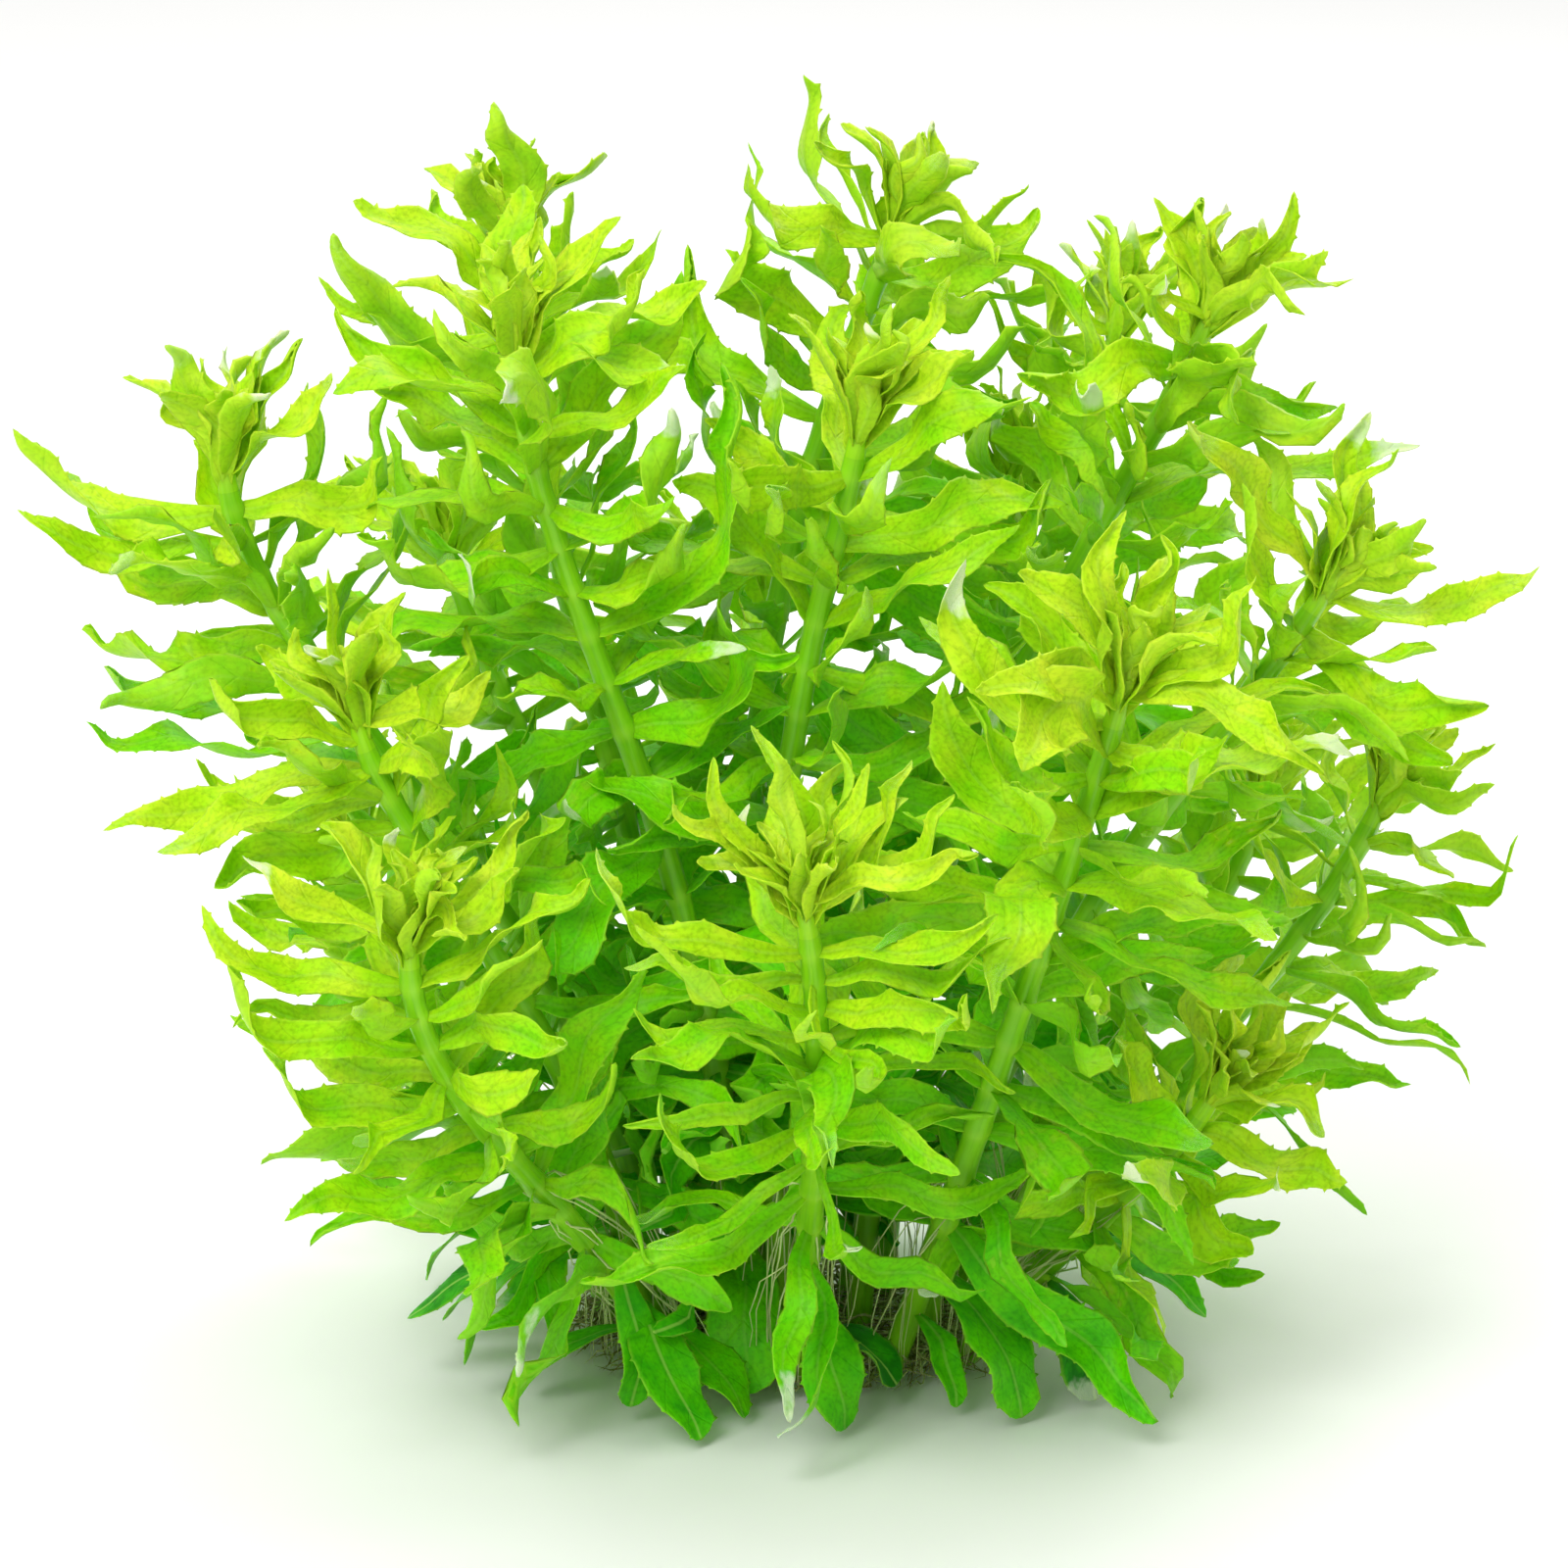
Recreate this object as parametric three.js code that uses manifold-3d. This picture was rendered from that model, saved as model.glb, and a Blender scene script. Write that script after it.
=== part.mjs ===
// Wavy rice paddy herb, an aquarium plant: a bushy clump of leafy shoots on a mat of fine roots.
// Millimetres, +Z up, +X to the right and +Y away, as seen from the front.
// The origin is the middle of the root mat's flat underside.
import * as THREE from "three";
import { mergeVertices } from "three/addons/utils/BufferGeometryUtils.js";
import Module from "manifold-3d";

const wasm = await Module();
wasm.setup();
const radians = THREE.MathUtils.degToRad;

// Driving dimensions of the stems

const STEM_RADIUS_FOOT = 2.7;
const STEM_RADIUS_TOP = 2;
const STEM_SIDES = 6;
const STEM_STEPS = 3;
const CROWN_STUB = 10; // length of stem that belongs to the crown of young leaves
const BUD_LENGTH = 9;

// Driving dimensions of the leaves

const LEAF_LENGTH = 46;
const LEAF_WIDTH = 12;
const NARROW_SHARE = 0.7; // width of the leaves on a narrow-leaved shoot
const LEAF_KEEL = 0.9; // depth of the midrib below the blade's middle
const BLADE_TOP = 0.3; // height of the blade's face above its middle
const LEAF_ROOTING = 0.7; // depth of a leaf's midline foot in its stem
const FOOT_LEAF_STALK = 1.2; // from the stem's skin to the foot of an old leaf
const WIDEST_AT = 0.58; // share of the leaf's length
const FOOT_WIDTH = 0.28; // share of the leaf's width
const LEAF_SECTIONS = [0.34, 0.7]; // shares of the leaf's length; both ends are points
const PLAIN_SECTIONS = [0.5]; // of a narrow leaf, or one that doesn't show on the outline
const WIDE_LEAF = 12; // width from which a marked leaf has both sections
const PLAIN_WIDENING = 1.2; // so that a leaf of one section covers as much as the real outline
const HANDLE_SHARES = [0.34, 0.7]; // places of the midline's two guide points along its chord
const HANDLE_RISE = 1.35; // of the guide points, as a share of the arch that they give
const UPWARD = new THREE.Vector3(0, 0, 0.6); // how far a leaf's arch leans from its stem to upright
const LEAN_AXIS = new THREE.Vector3(0, 35, 0); // leaves' faces lean away from this upright line
const LOWEST_TIP = 3;

// Driving dimensions of the whorls of leaves

const CROWN_LEAVES = 6;
const FIRST_INTERNODE = 14;
const INTERNODE_GROWTH = 2.4; // each internode is this much longer than the one above it
const LONGEST_INTERNODE = 26;
const YOUNG_WHORL = 3; // leaves in each of the first YOUNG_WHORLS; older ones have lost a leaf
const OLD_WHORL = 2;
const YOUNG_WHORLS = 3;
const WHORLS_TO_SPREAD = 7; // over which the leaves go from climbing to level
const GOLDEN_ANGLE = radians(137.5);

// Driving dimensions of the root mat

const MAT_RADIUS_X = 50;
const MAT_RADIUS_Y = 34;
const MAT_HEIGHT = 7;
const MAT_TOP_SHARE = 0.9; // of its width at the ground
const MAT_SECTORS = 16;
const MAT_UNEVENNESS = [0.95, 1.06];

// Gaps, and the distances between midlines that keep the pieces apart

const GAP = 0.3; // between pieces that touch
const CLEAR_OF_OTHERS = 3.2;
const CLEAR_OF_OWN = 1.7;
const CLEAR_OF_STEM = 4.6;
const CLEAR_OF_GROUND = 1.5;
const REACH = 62; // two leaves further apart than this can't meet

// Places are measured on the front view, which looks down by VIEW_TILT: across and rise from its
// middle, in millimetres at the plant's middle, and depth along +Y.

const VIEW_TILT = radians(16);
const VIEW_DISTANCE = 1400;
const VIEW_MIDDLE = new THREE.Vector3(-2, 31, 109);

// Each shoot is a smooth curve from its foot, [x, y] on the root mat, by two guide points to its
// crown, each [across, rise, depth]. bare is the length of its foot that bears no leaves. Its marks
// are the leaves that give the clump its outline: [whorl, across, rise, depth, width, bow], where
// whorl 0 is the crown. bow is the height of the leaf's arch as a share of its length, below 0 where
// the leaf sags and its tip turns up.
const SHOOTS = [
  {
    foot: [-14, 7], low: [-20, -30, 10], high: [-54, 48, 23], crown: [-56, 113, 23],
    size: 0.95, bare: 105,
    marks: [
      [0, -60, 139, 15, 11, 0.05], [0, -50, 132, 30, 7, 0.05], [0, -35, 128, 20, 11, 0.2],
      [0, -63, 127, 5, 8, 0.1], [1, -88, 119, 20, 11, 0.1], [1, -71, 122, 40, 8, 0.1],
      [2, -92, 112, 10, 10, -0.12], [2, -31, 112, 25, 9, 0.15], [5, -82, 73, 5, 10, -0.2],
    ],
  },
  {
    foot: [-12, -9], low: [-8, -10, -20], high: [-52, 32, -32], crown: [-55, 93, -32], size: 1.05, bare: 70,
    marks: [
      [0, -28, 105, -40, 12, -0.08], [0, -15, 102, -25, 13, 0.05], [0, -63, 107, -38, 8, 0.05],
      [1, -92, 79, -45, 12, 0.12], [1, -20, 85, -40, 12, 0.2], [2, -84, 81, -15, 12, 0.1],
      [3, -23, 77, -45, 11, -0.12], [4, -13, 86, -38, 12, -0.2],
    ],
  },
  {
    foot: [-27, -3], low: [-32, -20, -12], high: [-117, 22, -12], crown: [-114, 70, -12], size: 1, bare: 55,
    marks: [
      [0, -126, 89, -22, 11, 0.12], [0, -98, 91, -5, 8, 0.04], [0, -92, 84, -18, 10, 0.02],
      [0, -104, 84, 4, 7, 0.05], [0, -127, 79, -4, 5, -0.05], [1, -156, 73, -20, 12, -0.16],
      [1, -80, 66, -14, 11, -0.08], [2, -150, 66, -2, 10, -0.18], [2, -138, 43, -40, 12, 0.02],
      [4, -140, 23, -14, 10, -0.1], [4, -143, 12, -30, 10, -0.08],
    ],
  },
  {
    foot: [-30, -12], low: [-32, -52, -42], high: [-85, -12, -57], crown: [-88, 17, -57],
    size: 0.95, bare: 40,
    marks: [
      [0, -95, 44, -60, 5, 0.04], [0, -119, 20, -75, 11, -0.05], [0, -108, 28, -50, 10, 0.12],
      [0, -60, 23, -60, 11, -0.05], [1, -139, -9, -62, 10, 0.03], [1, -128, -14, -78, 10, 0.04],
      [3, -112, -24, -60, 9, -0.05],
    ],
  },
  {
    foot: [-25, -20], low: [-42, -78, -62], high: [-82, -66, -92], crown: [-76, -27, -90],
    size: 0.9, bare: 22,
    marks: [
      [0, -86, -11, -96, 9, 0.02], [0, -70, -19, -108, 9, 0.1], [0, -54, -17, -94, 8, 0.02],
      [0, -53, -5, -76, 7, 0.02], [0, -110, -14, -92, 9, -0.04], [0, -65, -32, -122, 7, 0.25],
      [1, -119, -25, -96, 10, -0.06], [1, -40, -19, -92, 9, 0.02], [2, -115, -37, -110, 9, -0.08],
      [2, -44, -53, -110, 9, 0.08], [3, -108, -54, -92, 10, -0.12], [4, -102, -90, -105, 11, 0.02],
      [5, -64, -105, -100, 11, 0.16], [6, -55, -121, -90, 9, 0.2],
    ],
  },
  {
    foot: [-4, 14], low: [-20, 24, 18], high: [10, 76, 33], crown: [24, 117, 33],
    size: 1, bare: 105,
    marks: [
      [0, 28, 133, 33, 9, 0.04], [0, 9, 137, 45, 5, -0.05], [0, 5, 131, 20, 9, 0.12],
      [0, -9, 126, 15, 13, -0.12], [0, 49, 123, 30, 8, -0.12], [0, 44, 107, 5, 8, 0.25],
      [2, 42, 99, 20, 10, 0.05], [3, -19, 110, 25, 11, -0.16], [4, -15, 92, 15, 10, -0.14],
    ],
  },
  {
    foot: [-1, -11], low: [-12, 0, -22], high: [12, 42, -27], crown: [16, 77, -27], size: 1, bare: 70,
    marks: [
      [0, 15, 101, -25, 10, 0.03], [0, 21, 98, -40, 7, 0.05], [0, 34, 104, -18, 8, 0.03],
      [0, 38, 90, -30, 9, 0.06], [1, 51, 77, -38, 10, 0.05], [3, 47, 53, -48, 10, 0.03],
      [1, -12, 66, -50, 11, -0.1], [3, -22, 62, -40, 11, 0.15],
    ],
  },
  {
    foot: [13, 0], low: [20, 8, -4], high: [78, 64, -2], crown: [88, 99, -2], size: 1, bare: 70,
    marks: [
      [0, 84, 119, 10, 10, 0.1], [0, 104, 121, 0, 10, 0.04], [0, 110, 108, -10, 9, 0.05],
      [0, 107, 96, -25, 9, 0.25], [0, 68, 102, -20, 8, 0.08], [1, 48, 83, -30, 12, 0.05],
      [1, 92, 73, -30, 14, 0.22], [3, 130, 69, 0, 10, 0.08], [3, 50, 78, 10, 11, 0.1],
    ],
  },
  {
    foot: [11, 16], low: [26, 0, 38], high: [64, 64, 53], crown: [69, 98, 58], size: 0.95, bare: 100,
    marks: [
      [0, 72, 115, 55, 9, 0.05], [0, 64, 106, 60, 9, 0.1], [0, 51, 105, 50, 8, -0.1],
      [1, 50, 95, 40, 10, -0.08],
    ],
  },
  {
    foot: [26, -6], low: [36, -40, -17], high: [98, 16, -22], crown: [113, 44, -22], size: 1, bare: 60,
    marks: [
      [0, 120, 76, -15, 9, 0.03], [0, 126, 68, -25, 9, 0.06], [0, 131, 55, -32, 9, 0.12],
      [0, 155, 44, -22, 10, -0.12], [0, 82, 74, -45, 12, 0.05], [0, 95, 73, -8, 10, -0.05],
      [1, 144, 16, -40, 12, -0.12], [2, 136, 4, -30, 11, 0.1],
    ],
  },
  {
    foot: [19, -19], low: [44, -60, -62], high: [62, -6, -84], crown: [70, 22, -82], size: 1.1, bare: 30,
    marks: [
      [0, 37, 46, -85, 13, -0.25], [0, 77, 51, -80, 8, 0.04], [0, 70, 56, -85, 10, -0.05],
      [0, 40, 19, -110, 12, 0.15], [0, 98, 42, -90, 10, -0.06], [0, 111, 2, -100, 12, 0.15],
      [1, 48, 2, -112, 17, 0.2], [1, 91, 10, -95, 12, -0.15], [3, 42, -47, -115, 15, 0.22],
      [3, 100, -31, -110, 14, 0.08],
    ],
  },
  {
    foot: [0, -22], low: [6, -84, -62], high: [10, -50, -102], crown: [3, -21, -104], size: 1, bare: 24,
    narrow: true,
    marks: [
      [0, -7, 12, -100, 7, 0.03], [0, -15, 6, -112, 6, 0.03], [0, 10, 9, -95, 6, 0.03],
      [0, 26, 5, -105, 7, 0.03], [0, 17, 4, -118, 6, 0.04], [0, 35, -2, -108, 7, -0.03],
      [0, -22, -5, -120, 7, 0.04], [0, 39, -16, -118, 7, 0.03], [0, -2, 8, -118, 7, 0.04],
      [1, -38, -13, -125, 8, -0.1], [1, 44, -26, -115, 8, -0.03], [2, -29, -28, -130, 8, -0.04],
      [3, -31, -56, -125, 10, 0.08], [3, 37, -48, -122, 10, 0.1], [4, -25, -63, -118, 9, -0.14],
      [4, 35, -79, -112, 9, 0.18], [4, 11, -78, -125, 10, 0.3],
    ],
  },
  {
    foot: [38, 1], low: [60, -76, 8], high: [114, -32, 13], crown: [123, 1, 13], size: 0.95, bare: 40,
    narrow: true,
    marks: [
      [0, 145, 9, 10, 6, 0.05], [0, 145, 0, 0, 8, 0.12], [1, 149, -17, 5, 7, 0.05],
      [1, 137, -19, -10, 7, 0.2], [2, 143, -34, 5, 7, 0.14], [3, 138, -55, -5, 8, 0.05],
      [3, 134, -38, 30, 8, 0.03], [4, 128, -62, 0, 8, 0.1], [5, 118, -59, -15, 8, 0.12],
    ],
  },
  {
    foot: [34, -14], low: [46, -100, -22], high: [76, -84, -42], crown: [90, -60, -50],
    size: 0.95, bare: 26,
    marks: [
      [0, 104, -34, -52, 9, 0.05], [0, 115, -44, -45, 9, 0.08], [0, 110, -72, -62, 10, 0.12],
      [1, 115, -82, -50, 12, 0.08], [2, 95, -95, -62, 11, -0.06], [2, 70, -78, -85, 10, 0.1],
      [1, 66, -52, -72, 10, 0.06],
    ],
  },
  {
    foot: [-22, 16], low: [-24, -30, 38], high: [-66, 20, 58], crown: [-69, 54, 63], size: 1, bare: 60,
    marks: [[1, -100, 60, 50, 10, 0.1], [2, -104, 38, 52, 10, 0.1]],
  },
  {
    foot: [-2, 28], low: [4, -48, 62], high: [2, 0, 94], crown: [-6, 46, 98], size: 1, bare: 45,
    marks: [],
  },
  {
    foot: [18, 25], low: [26, -20, 46], high: [44, 30, 70], crown: [46, 64, 74], size: 1, bare: 60,
    marks: [],
  },
  {
    foot: [31, 14], low: [56, -64, 42], high: [92, -32, 68], crown: [98, 0, 72], size: 1, bare: 30,
    marks: [],
  },
  {
    foot: [-38, 7], low: [-40, -70, 36], high: [-84, -40, 62], crown: [-88, -8, 66], size: 1, bare: 30,
    marks: [],
  },
];

// The old leaves at the foot lie out over the ground. Each is [shoot, height on the stem, x, y and z of
// its tip, width].
const FOOT_LEAVES = [
  [4, 24, -18, -61, 2, 12], [4, 17, -9, -51, 3, 12], [1, 24, -4, -42, 4, 15], [4, 32, -30, -50, 4, 8],
  [4, 14, -54, -34, 4, 9], [3, 34, -66, -36, 8, 9], [3, 26, -78, -24, 14, 9], [2, 20, -72, -4, 6, 9],
  [11, 24, 11, -56, 2, 12], [11, 16, 20, -42, 6, 13], [10, 26, 46, -50, 2, 14], [10, 16, 33, -46, 3, 6],
  [13, 22, 60, -40, 2, 13], [13, 16, 64, -24, 6, 10], [12, 22, 84, -8, 8, 9], [17, 18, 70, 34, 3, 10],
  [16, 18, 44, 60, 3, 10], [15, 16, 4, 66, 3, 11], [15, 24, -18, 62, 4, 10], [14, 18, -48, 48, 3, 10],
  [18, 20, -78, 26, 4, 10],
];

// Repeatable numbers

const MIXERS = [2654435761, 2246822519];
const SHIFTS = [15, 13];
const MOST = 20; // whorls on a shoot, and leaves on a whorl
const LEAF_SEEDS = 16; // seeds set aside for each leaf
const FOOT_SEEDS = 90000;
const MAT_SEEDS = 500;

// A repeatable number from 0 to 1 for a whole-number seed.
function chance(seed) {
  let n = seed + 1;
  MIXERS.forEach((mixer, i) => {
    n = Math.imul(n, mixer) >>> 0;
    n = (n ^ (n >>> SHIFTS[i])) >>> 0;
  });
  return n / 2 ** 32;
}

const between = (seed, low, high) => low + (high - low) * chance(seed);
const seedOf = (shoot, whorl, leaf) => ((shoot * MOST + whorl) * MOST + leaf) * LEAF_SEEDS;

// Places

// The point that the front view shows at across and rise, at the given depth along +Y.
function seen([across, rise, depth]) {
  const eye = new THREE.Vector3(0, -Math.cos(VIEW_TILT), Math.sin(VIEW_TILT))
    .multiplyScalar(VIEW_DISTANCE)
    .add(VIEW_MIDDLE);
  const shown = new THREE.Vector3(across, rise * Math.sin(VIEW_TILT), rise * Math.cos(VIEW_TILT));
  shown.add(VIEW_MIDDLE);
  return eye.clone().lerp(shown, (depth - eye.y) / (shown.y - eye.y));
}

// Stems

const stems = SHOOTS.map(({ foot, low, high, crown }) => {
  const points = [new THREE.Vector3(...foot, 0), seen(low), seen(high), seen(crown)];
  return new THREE.CubicBezierCurve3(...points);
});
const stemRadius = (s) => STEM_RADIUS_FOOT + (STEM_RADIUS_TOP - STEM_RADIUS_FOOT) * s;

// The curve parameter that lies the given length below the top of a stem.
function below(stem, length) {
  const steps = 200;
  let gone = 0;
  let last = stem.getPoint(1);
  for (let i = steps - 1; i >= 0; i--) {
    const next = stem.getPoint(i / steps);
    const piece = next.distanceTo(last);
    gone += piece;
    if (gone >= length) return (i + (gone - length) / piece) / steps;
    last = next;
  }
  return 0;
}

// Directions across a stem at share s: its own way, and two square to it.
function axesAt(stem, s) {
  const axis = stem.getTangent(s);
  const east = new THREE.Vector3(1, 0, 0).addScaledVector(axis, -axis.x).normalize();
  return [axis, east, axis.clone().cross(east)];
}

// A place on a stem that bears leaves.
function nodeAt(shoot, s) {
  const [axis, east, north] = axesAt(stems[shoot], s);
  return { shoot, at: stems[shoot].getPoint(s), radius: stemRadius(s), axis, east, north };
}

// Leaves

// A leaf's midline is a cubic Bezier from base to tip, bowed along lift and swayed across it. Its
// face leans by roll away from the middle of the clump.
function makeLeaf({ root, base, tip, lift, bow, hook, sway, roll, twist, width, marked = false }) {
  const chord = tip.clone().sub(base);
  const length = chord.length();
  const along = chord.clone().divideScalar(length);
  const up = lift.clone().addScaledVector(along, -lift.dot(along)).normalize();
  const side = along.clone().cross(up);
  const rise = bow * HANDLE_RISE;
  const guide = (share, height) =>
    base.clone().addScaledVector(chord, share)
      .addScaledVector(up, height * length)
      .addScaledVector(side, sway * length);
  const guides = [guide(HANDLE_SHARES[0], rise), guide(HANDLE_SHARES[1], rise - hook)];
  const midline = new THREE.CubicBezierCurve3(base, ...guides, tip);
  const outward = base.clone().add(tip).multiplyScalar(0.5).sub(LEAN_AXIS);
  const lean = side.x * outward.x + side.y * outward.y > 0 ? roll : -roll;
  return { midline, root, up, roll: lean, twist, width, marked };
}

// Half the blade's width, as a share of half the leaf's width: narrow foot, widest past the middle.
function outline(s) {
  const quarter = Math.PI / 2;
  if (s >= WIDEST_AT) return Math.cos(quarter * ((s - WIDEST_AT) / (1 - WIDEST_AT))) ** 0.8;
  return FOOT_WIDTH + (1 - FOOT_WIDTH) * Math.sin(quarter * (s / WIDEST_AT)) ** 1.4;
}

// The blade's frame at share s of its length: centre, face normal, side and half width.
function bladeAt(leaf, s) {
  const centre = leaf.midline.getPoint(s);
  const tangent = leaf.midline.getTangent(s);
  const face = leaf.up.clone().addScaledVector(tangent, -leaf.up.dot(tangent)).normalize();
  face.applyAxisAngle(tangent, leaf.roll + leaf.twist * s);
  const side = tangent.clone().cross(face);
  return { centre, face, side, half: (leaf.width / 2) * outline(s) };
}

// Room between leaves

const MIDLINE_PROBES = [0.2, 0.3, 0.4, 0.5, 0.6, 0.7, 0.8, 0.9, 1];
const MIDDLE_PROBE = 3;
const EDGE_PROBES = [0.4, 0.5, 0.6, 0.7];
const EDGE_PROBE_REACH = 0.75; // of half the width
const STEM_PROBES = 60;
const stemProbes = stems.map((stem) => stem.getPoints(STEM_PROBES));
const placed = []; // {shoot, probes} of each leaf that has its place

// Points on a leaf that are kept clear of other leaves.
function probesOf(leaf) {
  const probes = MIDLINE_PROBES.map((s) => leaf.midline.getPoint(s));
  for (const s of EDGE_PROBES) {
    const { centre, side, half } = bladeAt(leaf, s);
    probes.push(centre.clone().addScaledVector(side, EDGE_PROBE_REACH * half));
    probes.push(centre.clone().addScaledVector(side, -EDGE_PROBE_REACH * half));
  }
  return probes;
}

// The least distance between two sets of points.
function nearest(points, others) {
  let least = Infinity;
  for (const a of points) {
    for (const b of others) least = Math.min(least, a.distanceTo(b));
  }
  return least;
}

// How far a leaf is from trouble: below 0 where it comes too near a leaf, a stem or the ground.
function room(leaf, shoot) {
  const probes = probesOf(leaf);
  let least = Math.min(...probes.map((probe) => probe.z)) - CLEAR_OF_GROUND;
  for (const other of placed) {
    if (other.probes[MIDDLE_PROBE].distanceTo(probes[MIDDLE_PROBE]) > REACH) continue;
    const need = other.shoot === shoot ? CLEAR_OF_OWN : CLEAR_OF_OTHERS;
    least = Math.min(least, nearest(probes, other.probes) - need);
  }
  stemProbes.forEach((points, other) => {
    if (other !== shoot) least = Math.min(least, nearest(probes, points) - CLEAR_OF_STEM);
  });
  return least;
}

// The first of the tries that has room, or else the roomiest.
function settle(shoot, tries, make) {
  let best = null;
  for (const attempt of tries) {
    const leaf = make(attempt);
    const space = room(leaf, shoot);
    if (!best || space > best.space) best = { leaf, space };
    if (space >= 0) break;
  }
  placed.push({ shoot, probes: probesOf(best.leaf) });
  return best.leaf;
}

// Leaves on a stem

const DEPTH_TRIES = [0, -7, 7, -14, 14, -21, 21];
const TURN_TRIES = [ // [degrees more turn, degrees more climb, share of the length]
  [0, 0, 1], [14, 6, 1], [-14, -6, 1], [26, -10, 0.95], [-26, 12, 0.95], [8, 22, 0.9],
  [-8, -20, 0.9], [38, 0, 0.85], [-38, 0, 0.85], [0, 30, 0.75], [0, -28, 0.75], [0, 12, 0.6],
];

// A leaf whose tip is marked on the front view. It may move in depth to find room.
function markedLeaf(node, seed, [, across, rise, depth, width, bow]) {
  return settle(node.shoot, DEPTH_TRIES, (shift) => {
    const tip = seen([across, rise, depth + shift]);
    const out = tip.clone().sub(node.at);
    out.addScaledVector(node.axis, -out.dot(node.axis)).normalize();
    return makeLeaf({
      root: node.at,
      base: node.at.clone().addScaledVector(out, node.radius - LEAF_ROOTING),
      tip,
      lift: node.axis.clone().add(UPWARD),
      bow,
      hook: between(seed + 1, -0.05, 0.22),
      sway: between(seed + 2, -0.13, 0.13),
      roll: between(seed + 3, 0.35, 1.05),
      twist: between(seed + 4, -0.7, 0.7),
      width,
      marked: true,
    });
  });
}

// A leaf that leaves the stem at the given turn round it and climb above square.
function freeLeaf(node, seed, { turn, climb, length, width, droop }) {
  return settle(node.shoot, TURN_TRIES, ([moreTurn, moreClimb, share]) => {
    const t = turn + radians(moreTurn);
    const c = radians(climb + moreClimb);
    const out = node.east.clone().multiplyScalar(Math.cos(t));
    out.addScaledVector(node.north, Math.sin(t));
    const base = node.at.clone().addScaledVector(out, node.radius - LEAF_ROOTING);
    const way = out.multiplyScalar(Math.cos(c)).addScaledVector(node.axis, Math.sin(c));
    const tip = base.clone().addScaledVector(way, length * share);
    tip.z = Math.max(tip.z - droop * length, LOWEST_TIP);
    return makeLeaf({
      root: node.at,
      base,
      tip,
      lift: node.axis.clone().add(UPWARD),
      bow: between(seed + 1, -0.15, 0.15) + droop * 0.4,
      hook: between(seed + 2, -0.08, 0.24),
      sway: between(seed + 3, -0.16, 0.16),
      roll: between(seed + 4, 0.2, 1.05),
      twist: between(seed + 5, -0.8, 0.8),
      width,
    });
  });
}

// The turn round the stem at which a leaf leaves it.
function turnOf(leaf, node) {
  const way = leaf.midline.v3.clone().sub(node.at);
  return Math.atan2(way.dot(node.north), way.dot(node.east));
}

// The turns of a whorl's unmarked leaves: evenly spaced from a marked one, or else by phase.
function freeTurns(count, taken, phase) {
  const turns = [];
  const start = taken.length ? taken[0] : phase;
  for (let i = 0; i < count && taken.length + turns.length < count; i++) {
    const turn = start + (2 * Math.PI * i) / count;
    const near = taken.some((t) => Math.cos(t - turn) > Math.cos(Math.PI / count));
    if (!near) turns.push(turn);
  }
  return turns;
}

const girthOf = (shoot) => (shoot.narrow ? NARROW_SHARE : 1) * shoot.size;

// The crown: young leaves up the last of the stem, the lower ones long and spread.
function growCrown(shoot, index) {
  const marks = shoot.marks.filter((mark) => mark[0] === 0);
  const count = Math.max(CROWN_LEAVES, marks.length + 2);
  const leaves = [];
  for (let i = 0; i < count; i++) {
    const up = (i + 0.5) / count;
    const node = nodeAt(index, below(stems[index], CROWN_STUB * (1 - up)));
    const seed = seedOf(index, 0, i);
    if (i < marks.length) {
      leaves.push(markedLeaf(node, seed, marks[i]));
      continue;
    }
    leaves.push(freeLeaf(node, seed, {
      turn: i * GOLDEN_ANGLE + between(seed, 0, 1),
      climb: 42 + 38 * up,
      length: LEAF_LENGTH * shoot.size * (0.78 - 0.42 * up),
      width: LEAF_WIDTH * 0.8 * girthOf(shoot) * between(seed + 8, 0.85, 1.1) * (1 - 0.35 * up),
      droop: 0,
    }));
  }
  return leaves;
}

// The whorls below the crown, from young to old.
function growWhorls(shoot, index) {
  const length = stems[index].getLength();
  const leaves = [];
  let down = FIRST_INTERNODE;
  let internode = FIRST_INTERNODE;
  for (let w = 1; length - down > shoot.bare; w++) {
    const node = nodeAt(index, below(stems[index], down));
    const age = Math.min(w / WHORLS_TO_SPREAD, 1);
    const marks = shoot.marks.filter((mark) => mark[0] === w);
    const marked = marks.map((mark, i) => markedLeaf(node, seedOf(index, w, i), mark));
    const taken = marked.map((leaf) => turnOf(leaf, node));
    const count = w <= YOUNG_WHORLS ? YOUNG_WHORL : OLD_WHORL;
    const phase = between(seedOf(index, w, MOST - 1), 0, 2 * Math.PI);
    const free = freeTurns(count, taken, phase).map((turn, i) => {
      const seed = seedOf(index, w, marks.length + i);
      return freeLeaf(node, seed, {
        turn,
        climb: between(seed, 30, 50) - 38 * age,
        length: LEAF_LENGTH * shoot.size * between(seed + 6, 0.85, 1.12) * (0.86 + 0.14 * age),
        width: LEAF_WIDTH * girthOf(shoot) * between(seed + 8, 0.82, 1.15),
        droop: 0.3 * age * chance(seed + 7),
      });
    });
    leaves.push(...marked, ...free);
    down += internode;
    internode = Math.min(internode + INTERNODE_GROWTH, LONGEST_INTERNODE);
  }
  return leaves;
}

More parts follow.
